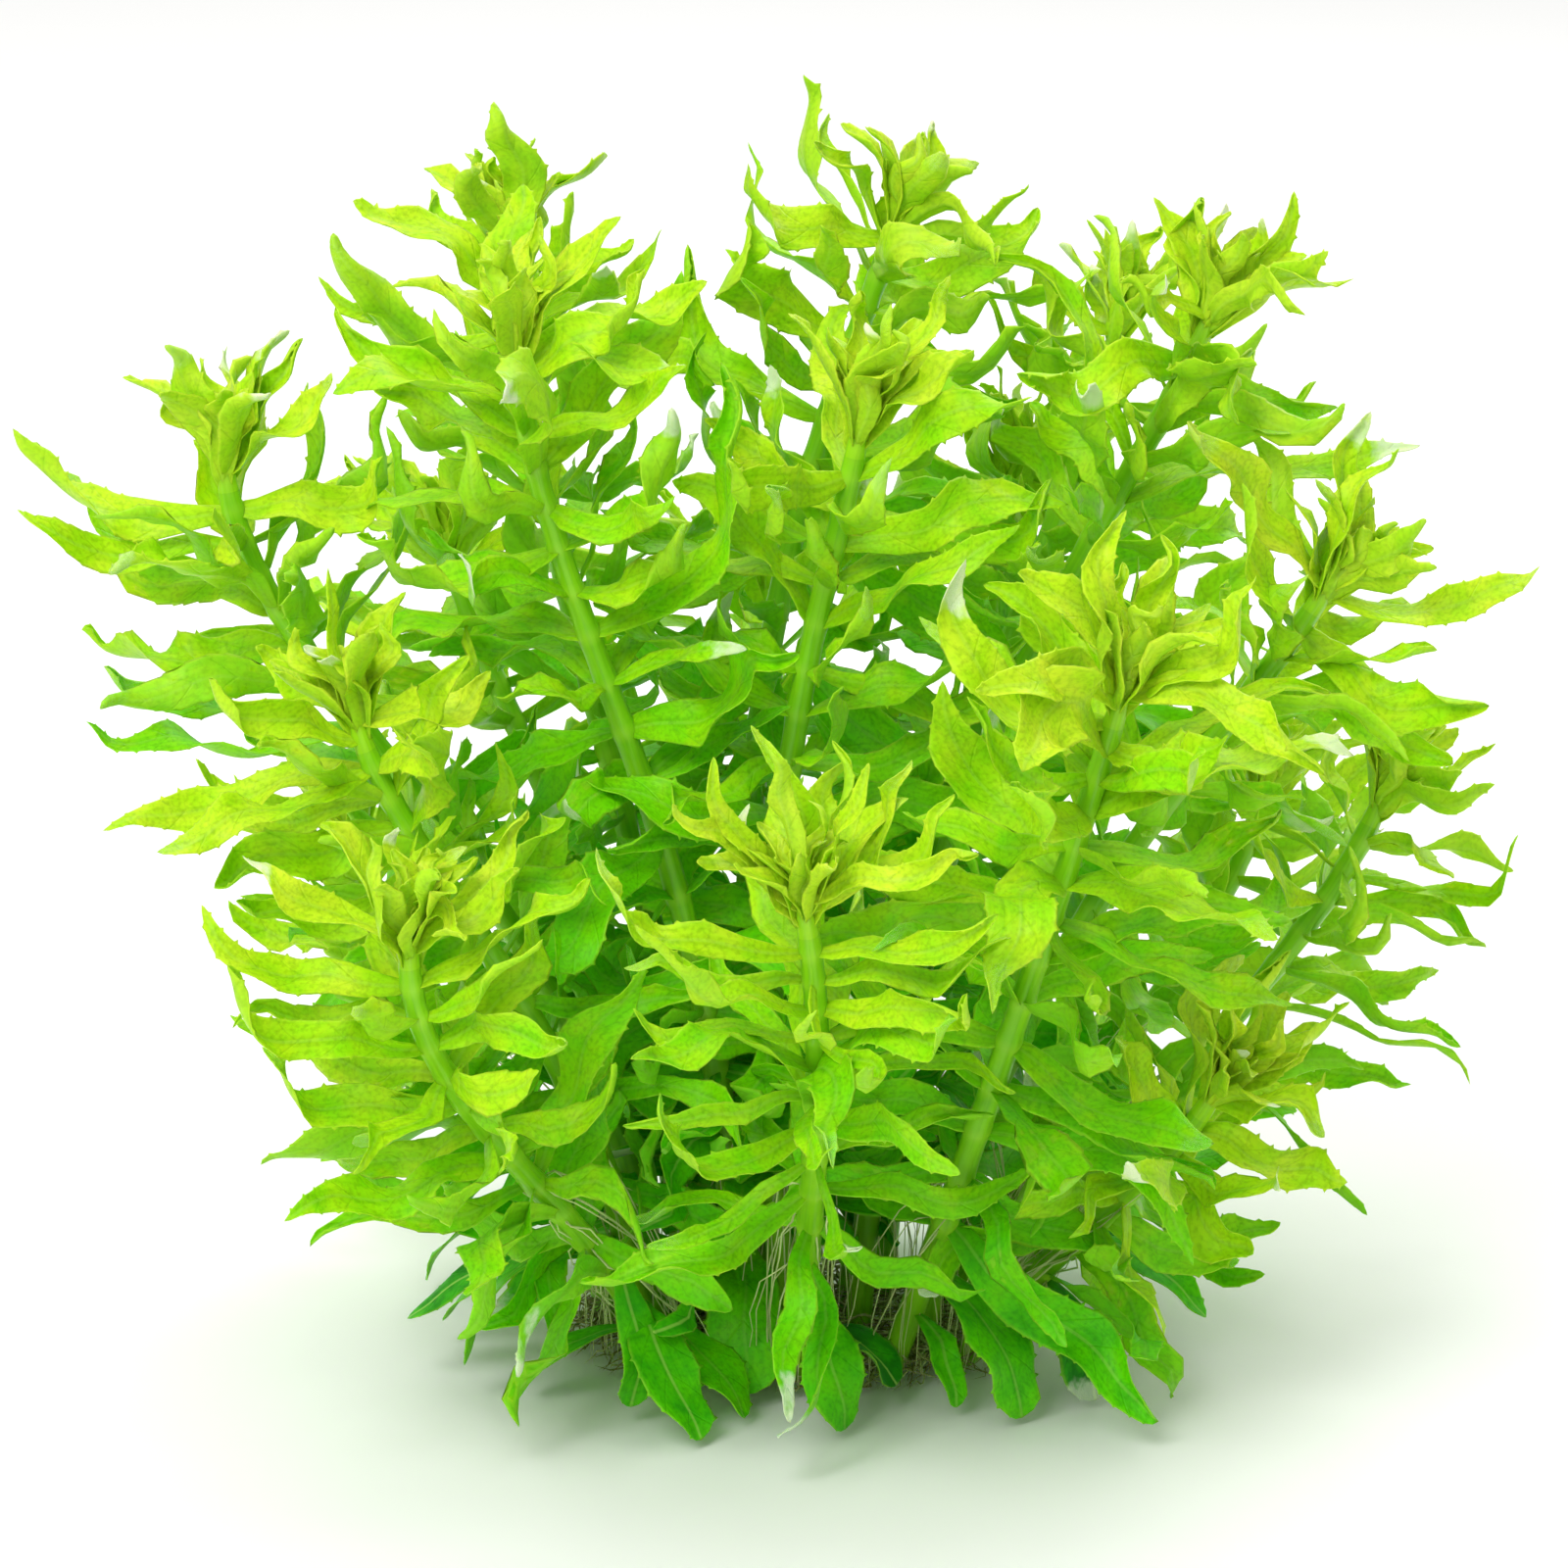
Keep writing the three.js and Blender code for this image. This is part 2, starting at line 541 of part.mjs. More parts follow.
// An old leaf near the ground. It may turn or shorten to find room.
function footLeaf([shoot, height, x, y, z, width], index) {
  let s = 0;
  while (stems[shoot].getPoint(s).z < height) s += 0.005;
  const at = stems[shoot].getPoint(s);
  const out = new THREE.Vector3(x, y, height).sub(at).normalize();
  const base = at.clone().addScaledVector(out, stemRadius(s) + FOOT_LEAF_STALK);
  const seed = FOOT_SEEDS + index * LEAF_SEEDS;
  const upright = new THREE.Vector3(0, 0, 1);
  return settle(shoot, TURN_TRIES, ([turn, , share]) => {
    const way = new THREE.Vector3(x, y, 0).sub(base).setZ(0);
    way.applyAxisAngle(upright, radians(turn / 2)).multiplyScalar(share);
    return makeLeaf({
      root: base,
      base,
      tip: base.clone().add(way).setZ(z),
      lift: upright,
      bow: between(seed + 1, 0.08, 0.16),
      hook: between(seed + 2, 0, 0.05),
      sway: between(seed + 3, -0.08, 0.08),
      roll: 0,
      twist: between(seed + 4, -0.35, 0.35),
      width,
      marked: true,
    });
  });
}

// Solids

function solidOf(points, triangles) {
  return new wasm.Manifold(new wasm.Mesh({
    numProp: 3,
    vertProperties: new Float32Array(points.flatMap((p) => [p.x, p.y, p.z])),
    triVerts: new Uint32Array(triangles.flat()),
  }));
}

// The triangles that close a ring of n points from index start: to the point apex, or flat.
function cap(start, n, apex) {
  const faces = [];
  if (apex === null) {
    for (let i = 1; i < n - 1; i++) faces.push([start, start + i, start + i + 1]);
  } else {
    for (let i = 0; i < n; i++) faces.push([start + i, start + ((i + 1) % n), apex]);
  }
  return faces;
}

// Joins rings of equal size by side faces. Each end is closed by a point, if given, or flat.
function loft(rings, first, last) {
  const n = rings[0].length;
  const points = rings.flat();
  const faces = [];
  for (let r = 0; r + 1 < rings.length; r++) {
    for (let i = 0; i < n; i++) {
      const a = r * n + i;
      const b = r * n + ((i + 1) % n);
      faces.push([a, b, b + n], [a, b + n, a + n]);
    }
  }
  const apexOf = (point) => (point ? points.push(point) - 1 : null);
  faces.push(...cap(0, n, apexOf(first)).map((face) => face.reverse()));
  faces.push(...cap((rings.length - 1) * n, n, apexOf(last)));
  return solidOf(points, faces);
}

const isFine = (leaf) => leaf.marked && leaf.width >= WIDE_LEAF;
const sectionsOf = (leaf) => (isFine(leaf) ? LEAF_SECTIONS : PLAIN_SECTIONS);

// A section of a blade at share s: corners, each [across, up], about centre, and none under ground.
function section(leaf, s, centre, corners) {
  const { face, side } = bladeAt(leaf, s);
  return corners.map(([across, up]) => {
    const p = centre.clone().addScaledVector(side, across).addScaledVector(face, up);
    return p.setZ(Math.max(p.z, 0));
  });
}

// The sections of a leaf, each with the corners that the blade's half width gives.
function bladeSections(leaf, corners) {
  return sectionsOf(leaf).map((s) => {
    const { centre, half } = bladeAt(leaf, s);
    return section(leaf, s, centre, corners(half * (isFine(leaf) ? 1 : PLAIN_WIDENING)));
  });
}

// A leaf is a blade that is flat above, with the midrib as a ridge below. It starts at a point in
// its stem.
function leafSolid(leaf) {
  const corners = (half) => [[-half, BLADE_TOP], [half, BLADE_TOP], [0, -LEAF_KEEL]];
  return loft(bladeSections(leaf, corners), leaf.root, leaf.midline.getPoint(1));
}

// The same leaf, fatter by more all round: the space that other pieces leave free.
function leafSpace(leaf, more) {
  const corners = (half) => [
    [-half - 2 * more, BLADE_TOP + more], [half + 2 * more, BLADE_TOP + more],
    [half + 2 * more, BLADE_TOP - more], [0, -LEAF_KEEL - 1.5 * more],
    [-half - 2 * more, BLADE_TOP - more],
  ];
  const foot = section(leaf, 0, leaf.root, corners(0));
  const tip = leaf.midline.getPoint(1);
  const lastWay = tip.clone().sub(leaf.midline.getPoint(sectionsOf(leaf).at(-1))).normalize();
  const rings = [foot, ...bladeSections(leaf, corners)];
  return loft(rings, null, tip.addScaledVector(lastWay, 4 * more));
}

// A ring of corners round centre, the first one along east.
function ring(centre, east, north, radius) {
  return Array.from({ length: STEM_SIDES }, (_, k) => {
    const turn = (2 * Math.PI * k) / STEM_SIDES;
    return centre.clone().addScaledVector(east, radius * Math.cos(turn))
      .addScaledVector(north, radius * Math.sin(turn));
  });
}

// A stem from the top of the mat to the crown, fatter by more. Its foot is cut level.
function tube(stem, more) {
  const ground = MAT_HEIGHT + GAP;
  const top = below(stem, CROWN_STUB);
  const rings = Array.from({ length: STEM_STEPS + 1 }, (_, i) => {
    const s = (top * i) / STEM_STEPS;
    const [axis, east, north] = axesAt(stem, s);
    const corners = ring(stem.getPoint(s), east, north, stemRadius(s) + more);
    return corners.map((p) => {
      const rise = i === 0 ? ground - p.z : Math.max(ground - p.z, 0);
      return p.addScaledVector(axis, rise / axis.z);
    });
  });
  return loft(rings);
}

// The growing tip, fatter by more: a stub of stem that narrows to a bud.
function bud(stem, more) {
  const s = below(stem, CROWN_STUB - 2 * GAP);
  const [axis, east, north] = axesAt(stem, s);
  const foot = stem.getPoint(s);
  const neck = foot.clone().addScaledVector(axis, CROWN_STUB);
  const tip = neck.clone().addScaledVector(axis, BUD_LENGTH);
  const rings = [foot, neck].map((centre) => ring(centre, east, north, STEM_RADIUS_TOP + more));
  return loft(rings, null, tip);
}

// A low uneven cake of tangled roots, flat underneath and on top, where the stems stand.
function rootMat() {
  const layer = (z, share) => Array.from({ length: MAT_SECTORS }, (_, i) => {
    const turn = (2 * Math.PI * i) / MAT_SECTORS;
    const reach = share * between(MAT_SEEDS + i, ...MAT_UNEVENNESS);
    const x = MAT_RADIUS_X * reach * Math.cos(turn);
    const y = MAT_RADIUS_Y * reach * Math.sin(turn);
    return new THREE.Vector3(x, y, z);
  });
  return loft([layer(0, 1), layer(MAT_HEIGHT, MAT_TOP_SHARE)]);
}

// Pieces

const CLEARING = GAP + 0.1; // how much fatter than a piece the space is that others leave free
const taken = []; // {owner, solid} of each such space
const plant = new THREE.Group();

function boxesMeet(a, b) {
  const p = a.boundingBox();
  const q = b.boundingBox();
  return [0, 1, 2].every((i) => p.min[i] <= q.max[i] && q.min[i] <= p.max[i]);
}

// One body of the given parts, cut back from the space of every piece made before it.
function body(owner, parts, spaces) {
  let solid = wasm.Manifold.union(parts);
  for (const other of taken) {
    if (other.owner !== owner && boxesMeet(solid, other.solid)) solid = solid.subtract(other.solid);
  }
  for (const space of spaces) taken.push({ owner, solid: space });
  return solid.decompose().sort((a, b) => b.volume() - a.volume())[0];
}

// The geometry of a solid with its corners moved to a grid, so that cuts leave no hair-thin faces.
function snapped(solid, grid) {
  const { vertProperties, triVerts } = solid.getMesh();
  const positions = Array.from(vertProperties, (x) => Math.round(x / grid) * grid);
  const loose = new THREE.BufferGeometry();
  loose.setAttribute("position", new THREE.BufferAttribute(new Float32Array(positions), 3));
  loose.setIndex(new THREE.BufferAttribute(new Uint32Array(triVerts), 1));
  const geometry = mergeVertices(loose, grid / 10);
  const faces = new Map();
  for (let i = 0; i < triVerts.length; i += 3) {
    const face = Array.from(geometry.index.array.slice(i, i + 3));
    const key = [...face].sort((a, b) => a - b).join();
    if (new Set(face).size < 3) continue;
    if (faces.has(key)) faces.delete(key);
    else faces.set(key, face);
  }
  geometry.setIndex([...faces.values()].flat());
  return geometry;
}

// True if every edge of a geometry is shared by two faces, one on each side.
function isClosed(geometry) {
  const index = geometry.index.array;
  const edges = new Set();
  for (let i = 0; i < index.length; i += 3) {
    for (let k = 0; k < 3; k++) edges.add(`${index[i + k]}_${index[i + ((k + 1) % 3)]}`);
  }
  const paired = [...edges].every((edge) => edges.has(edge.split("_").reverse().join("_")));
  return paired && edges.size === index.length;
}

const GRIDS = [0.004, 0.003, 0.006, 0.01, 0.016, 0.002]; // tried in turn

function add(name, solid, color) {
  const geometry = GRIDS.map((grid) => snapped(solid, grid)).find(isClosed);
  const material = new THREE.MeshStandardMaterial({ color, roughness: 0.45, metalness: 0 });
  const piece = new THREE.Mesh(geometry, material);
  piece.name = name;
  plant.add(piece);
}

// The plant

const LEAF_GREEN = 0x7cc81e;
const YOUNG_GREEN = 0xb4dc3c;
const OLD_GREEN = 0x3f8f1c;
const ROOT_CREAM = 0xd8dcae;
const numbered = (name, index) => `${name}_${String(index + 1).padStart(2, "0")}`;
const spacesOf = (leaves) => leaves.map((leaf) => leafSpace(leaf, CLEARING));

// The leaves find room in this order: young ones, then the rest from the crown down, then old ones.
const crowns = SHOOTS.map(growCrown);
const whorls = SHOOTS.map(growWhorls);
const footLeaves = FOOT_LEAVES.map(footLeaf);

// Every bare stem keeps its space first, so that no leaf of a neighbour ends inside one.
stems.forEach((stem, i) => taken.push({ owner: numbered("stem", i), solid: tube(stem, CLEARING) }));

whorls.forEach((leaves, i) => {
  const parts = [tube(stems[i], 0), ...leaves.map(leafSolid)];
  add(numbered("stem", i), body(numbered("stem", i), parts, spacesOf(leaves)), LEAF_GREEN);
});
crowns.forEach((leaves, i) => {
  const parts = [bud(stems[i], 0), ...leaves.map(leafSolid)];
  const spaces = [bud(stems[i], CLEARING), ...spacesOf(leaves)];
  add(numbered("crown", i), body(numbered("crown", i), parts, spaces), YOUNG_GREEN);
});
footLeaves.forEach((leaf, i) => {
  const name = numbered("foot_leaf", i);
  add(name, body(name, [leafSolid(leaf)], spacesOf([leaf])), OLD_GREEN);
});
add("root_mat", body("root_mat", [rootMat()], []), ROOT_CREAM);

export default plant;
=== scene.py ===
# %% [markdown]
# # A clump of wavy rice paddy herb
# This aquarium plant grows as a bush of soft green shoots. Every shoot is a juicy stem with rings of wavy
# leaves and a rosette of pale young leaves at its tip, and hair-thin roots hold the bush at its foot.
# The plain solids of the plant come packed as a fixed frame. We load that frame, build a fine leafy
# version of every solid in the same place, and hide the solid behind it.

# %% Load the frame
import math

import bmesh
import bpy
import numpy as np
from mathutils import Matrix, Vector


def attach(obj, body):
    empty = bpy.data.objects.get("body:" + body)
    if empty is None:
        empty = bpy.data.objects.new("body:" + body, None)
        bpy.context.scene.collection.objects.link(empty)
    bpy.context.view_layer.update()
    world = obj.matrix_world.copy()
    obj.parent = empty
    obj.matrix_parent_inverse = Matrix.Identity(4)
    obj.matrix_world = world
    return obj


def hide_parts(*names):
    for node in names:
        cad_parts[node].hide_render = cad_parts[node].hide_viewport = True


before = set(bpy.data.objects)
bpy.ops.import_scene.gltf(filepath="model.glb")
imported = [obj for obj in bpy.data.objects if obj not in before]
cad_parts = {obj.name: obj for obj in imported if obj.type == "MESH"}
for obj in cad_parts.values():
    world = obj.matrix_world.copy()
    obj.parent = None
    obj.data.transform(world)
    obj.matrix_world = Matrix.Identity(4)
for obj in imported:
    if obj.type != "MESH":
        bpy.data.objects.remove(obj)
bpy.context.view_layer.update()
scene = bpy.context.scene
MM = 0.001

# %% [markdown]
# ## The camera and the light
# The camera looks down on the plant a little, from far away, so it hardly widens towards the viewer.
# A long lens does that: 157.5 mm on a 36 mm sensor sees 320 mm at a distance of 1400 mm.
# The light is that of a white studio: an even surround, a very large soft panel overhead, a smaller one
# above the viewer's shoulder that gives the leaves a lit side, and a weak one at the back that shines
# through thin blades.

# %% Camera
VIEW_TILT = math.radians(16)
VIEW_DISTANCE = 1400
VIEW_MIDDLE = np.array([-2, 31, 109], float)
VIEW_WIDTH = 320
SENSOR_WIDTH = 36
FURTHEST_SEEN = 20000

view_way = np.array([0, -math.cos(VIEW_TILT), math.sin(VIEW_TILT)])
eye = VIEW_MIDDLE + VIEW_DISTANCE * view_way
camera_data = bpy.data.cameras.new("camera")
camera_data.lens = SENSOR_WIDTH * VIEW_DISTANCE / VIEW_WIDTH
camera_data.sensor_width = SENSOR_WIDTH
camera_data.clip_end = FURTHEST_SEEN * MM
camera = bpy.data.objects.new("camera", camera_data)
camera.location = eye * MM
camera.rotation_mode = "QUATERNION"
camera.rotation_quaternion = Vector(-view_way).to_track_quat("-Z", "Y")
scene.collection.objects.link(camera)
scene.camera = camera
print("lens", camera_data.lens, "mm from", eye, "mm")

# %% Shader nodes
MIX_FACTOR, MIX_A, MIX_B, MIX_RESULT = 0, 6, 7, 2  # sockets of a Mix node that mixes colours


def colour(code):
    """A colour as Blender wants it, linear, from an sRGB hex code."""
    parts = [int(code[i:i + 2], 16) / 255 for i in (1, 3, 5)]
    linear = [c / 12.92 if c <= 0.04045 else ((c + 0.055) / 1.055) ** 2.4 for c in parts]
    return (*linear, 1)


def node(tree, kind, inputs=(), **settings):
    """Adds a shader node. Its inputs are a dict, by name or number, or a list in their order. Each is a
    value to set, a socket to link, or a node whose first output is linked."""
    made = tree.nodes.new("ShaderNode" + kind)
    for name, value in settings.items():
        setattr(made, name, value)
    for name, value in inputs.items() if isinstance(inputs, dict) else enumerate(inputs):
        if isinstance(value, bpy.types.Node):
            value = value.outputs[0]
        if isinstance(value, bpy.types.NodeSocket):
            tree.links.new(value, made.inputs[name])
        else:
            made.inputs[name].default_value = value
    return made


def empty_material(name):
    material = bpy.data.materials.new(name)
    material.use_nodes = True
    material.node_tree.nodes.clear()
    return material, material.node_tree


print("lime as linear numbers:", [round(c, 3) for c in colour("#8FD400")])

# %% Surround, soft panels and floor
SURROUND_STRENGTH = 0.46  # as light; the camera sees it plain white
PANELS = {  # name: (place in mm, side in mm, watts)
    "overhead_panel": ((0, 1000, 2400), 3600, 48),
    "front_panel": ((-500, -900, 1100), 700, 13),
    "back_panel": ((500, 900, 900), 700, 5),
}
FLOOR_SIDE = 6000

world = bpy.data.worlds.new("studio")
world.use_nodes = True
world.node_tree.nodes.clear()
seen_by = node(world.node_tree, "LightPath")
strength = node(world.node_tree, "MapRange", {
    0: seen_by.outputs["Is Camera Ray"], 3: SURROUND_STRENGTH, 4: 1})
sky = node(world.node_tree, "Background", {"Color": colour("#FFFFFF"), "Strength": strength})
node(world.node_tree, "OutputWorld", [sky])
scene.world = world

for name, (place, side, watts) in PANELS.items():
    panel_data = bpy.data.lights.new(name, "AREA")
    panel_data.size = side * MM
    panel_data.energy = watts
    panel = bpy.data.objects.new(name, panel_data)
    panel.location = Vector(place) * MM
    panel.rotation_mode = "QUATERNION"
    panel.rotation_quaternion = (panel.location - Vector(VIEW_MIDDLE) * MM).to_track_quat("Z", "Y")
    scene.collection.objects.link(panel)

paper, tree = empty_material("white_backdrop_paper")
matt_skin = node(tree, "BsdfPrincipled", {"Base Color": colour("#FBFBF9"), "Roughness": 0.9})
node(tree, "OutputMaterial", [matt_skin])
floor_mesh = bpy.data.meshes.new("floor")
bm = bmesh.new()
bmesh.ops.create_grid(bm, x_segments=1, y_segments=1, size=FLOOR_SIDE * MM / 2)
bm.to_mesh(floor_mesh)
bm.free()
floor_mesh.materials.append(paper)
floor = bpy.data.objects.new("floor", floor_mesh)
scene.collection.objects.link(floor)
scene.view_settings.view_transform = "Standard"
print("surround", SURROUND_STRENGTH, "and panels", {name: watts for name, (_, _, watts) in PANELS.items()})

# %% [markdown]
# ## Where every shoot and leaf is
# The plant has no two leaves alike, but it follows rules: a stem bears leaves in whorls, the gaps between
# whorls grow towards the foot, and a leaf turns aside where it would meet another. These are the rules and
# sizes of the solids, in millimetres, so each fine leaf lies where its plain solid does.
# Only the leaves that give the clump its outline are placed one by one, by the place of their tips.

# %% Sizes
STEM_RADIUS_FOOT = 2.7
STEM_RADIUS_TOP = 2
CROWN_STUB = 10  # length of stem that belongs to the crown of young leaves
LEAF_LENGTH = 46
LEAF_WIDTH = 12
NARROW_SHARE = 0.7  # width of the leaves on a narrow-leaved shoot
LEAF_ROOTING = 0.7  # depth of a leaf's midline foot in its stem
FOOT_LEAF_STALK = 1.2  # from the stem's skin to the foot of an old leaf
WIDEST_AT = 0.58  # share of the leaf's length
FOOT_WIDTH = 0.28  # share of the leaf's width
HANDLE_SHARES = (0.34, 0.7)  # places of the midline's two guide points along its chord
HANDLE_RISE = 1.35  # of the guide points, as a share of the arch that they give
UPWARD = np.array([0, 0, 0.6])  # how far a leaf's arch leans from its stem to upright
LEAN_AXIS = np.array([0, 35, 0], float)  # leaves' faces lean away from this upright line
LOWEST_TIP = 3
CROWN_LEAVES = 6
FIRST_INTERNODE = 14
INTERNODE_GROWTH = 2.4  # each internode is this much longer than the one above it
LONGEST_INTERNODE = 26
YOUNG_WHORL, OLD_WHORL = 3, 2  # leaves in a whorl
YOUNG_WHORLS = 3  # whorls below the crown that still have all their leaves
WHORLS_TO_SPREAD = 7  # over which the leaves go from climbing to level
GOLDEN_ANGLE = math.radians(137.5)
MAT_RADIUS_X, MAT_RADIUS_Y, MAT_HEIGHT = 50, 34, 7
CLEAR_OF_OTHERS, CLEAR_OF_OWN, CLEAR_OF_STEM, CLEAR_OF_GROUND = 3.2, 1.7, 4.6, 1.5
REACH = 62  # two leaves further apart than this can't meet
print("a leaf is", LEAF_LENGTH, "by", LEAF_WIDTH, "mm on a stem of", 2 * STEM_RADIUS_FOOT, "mm")

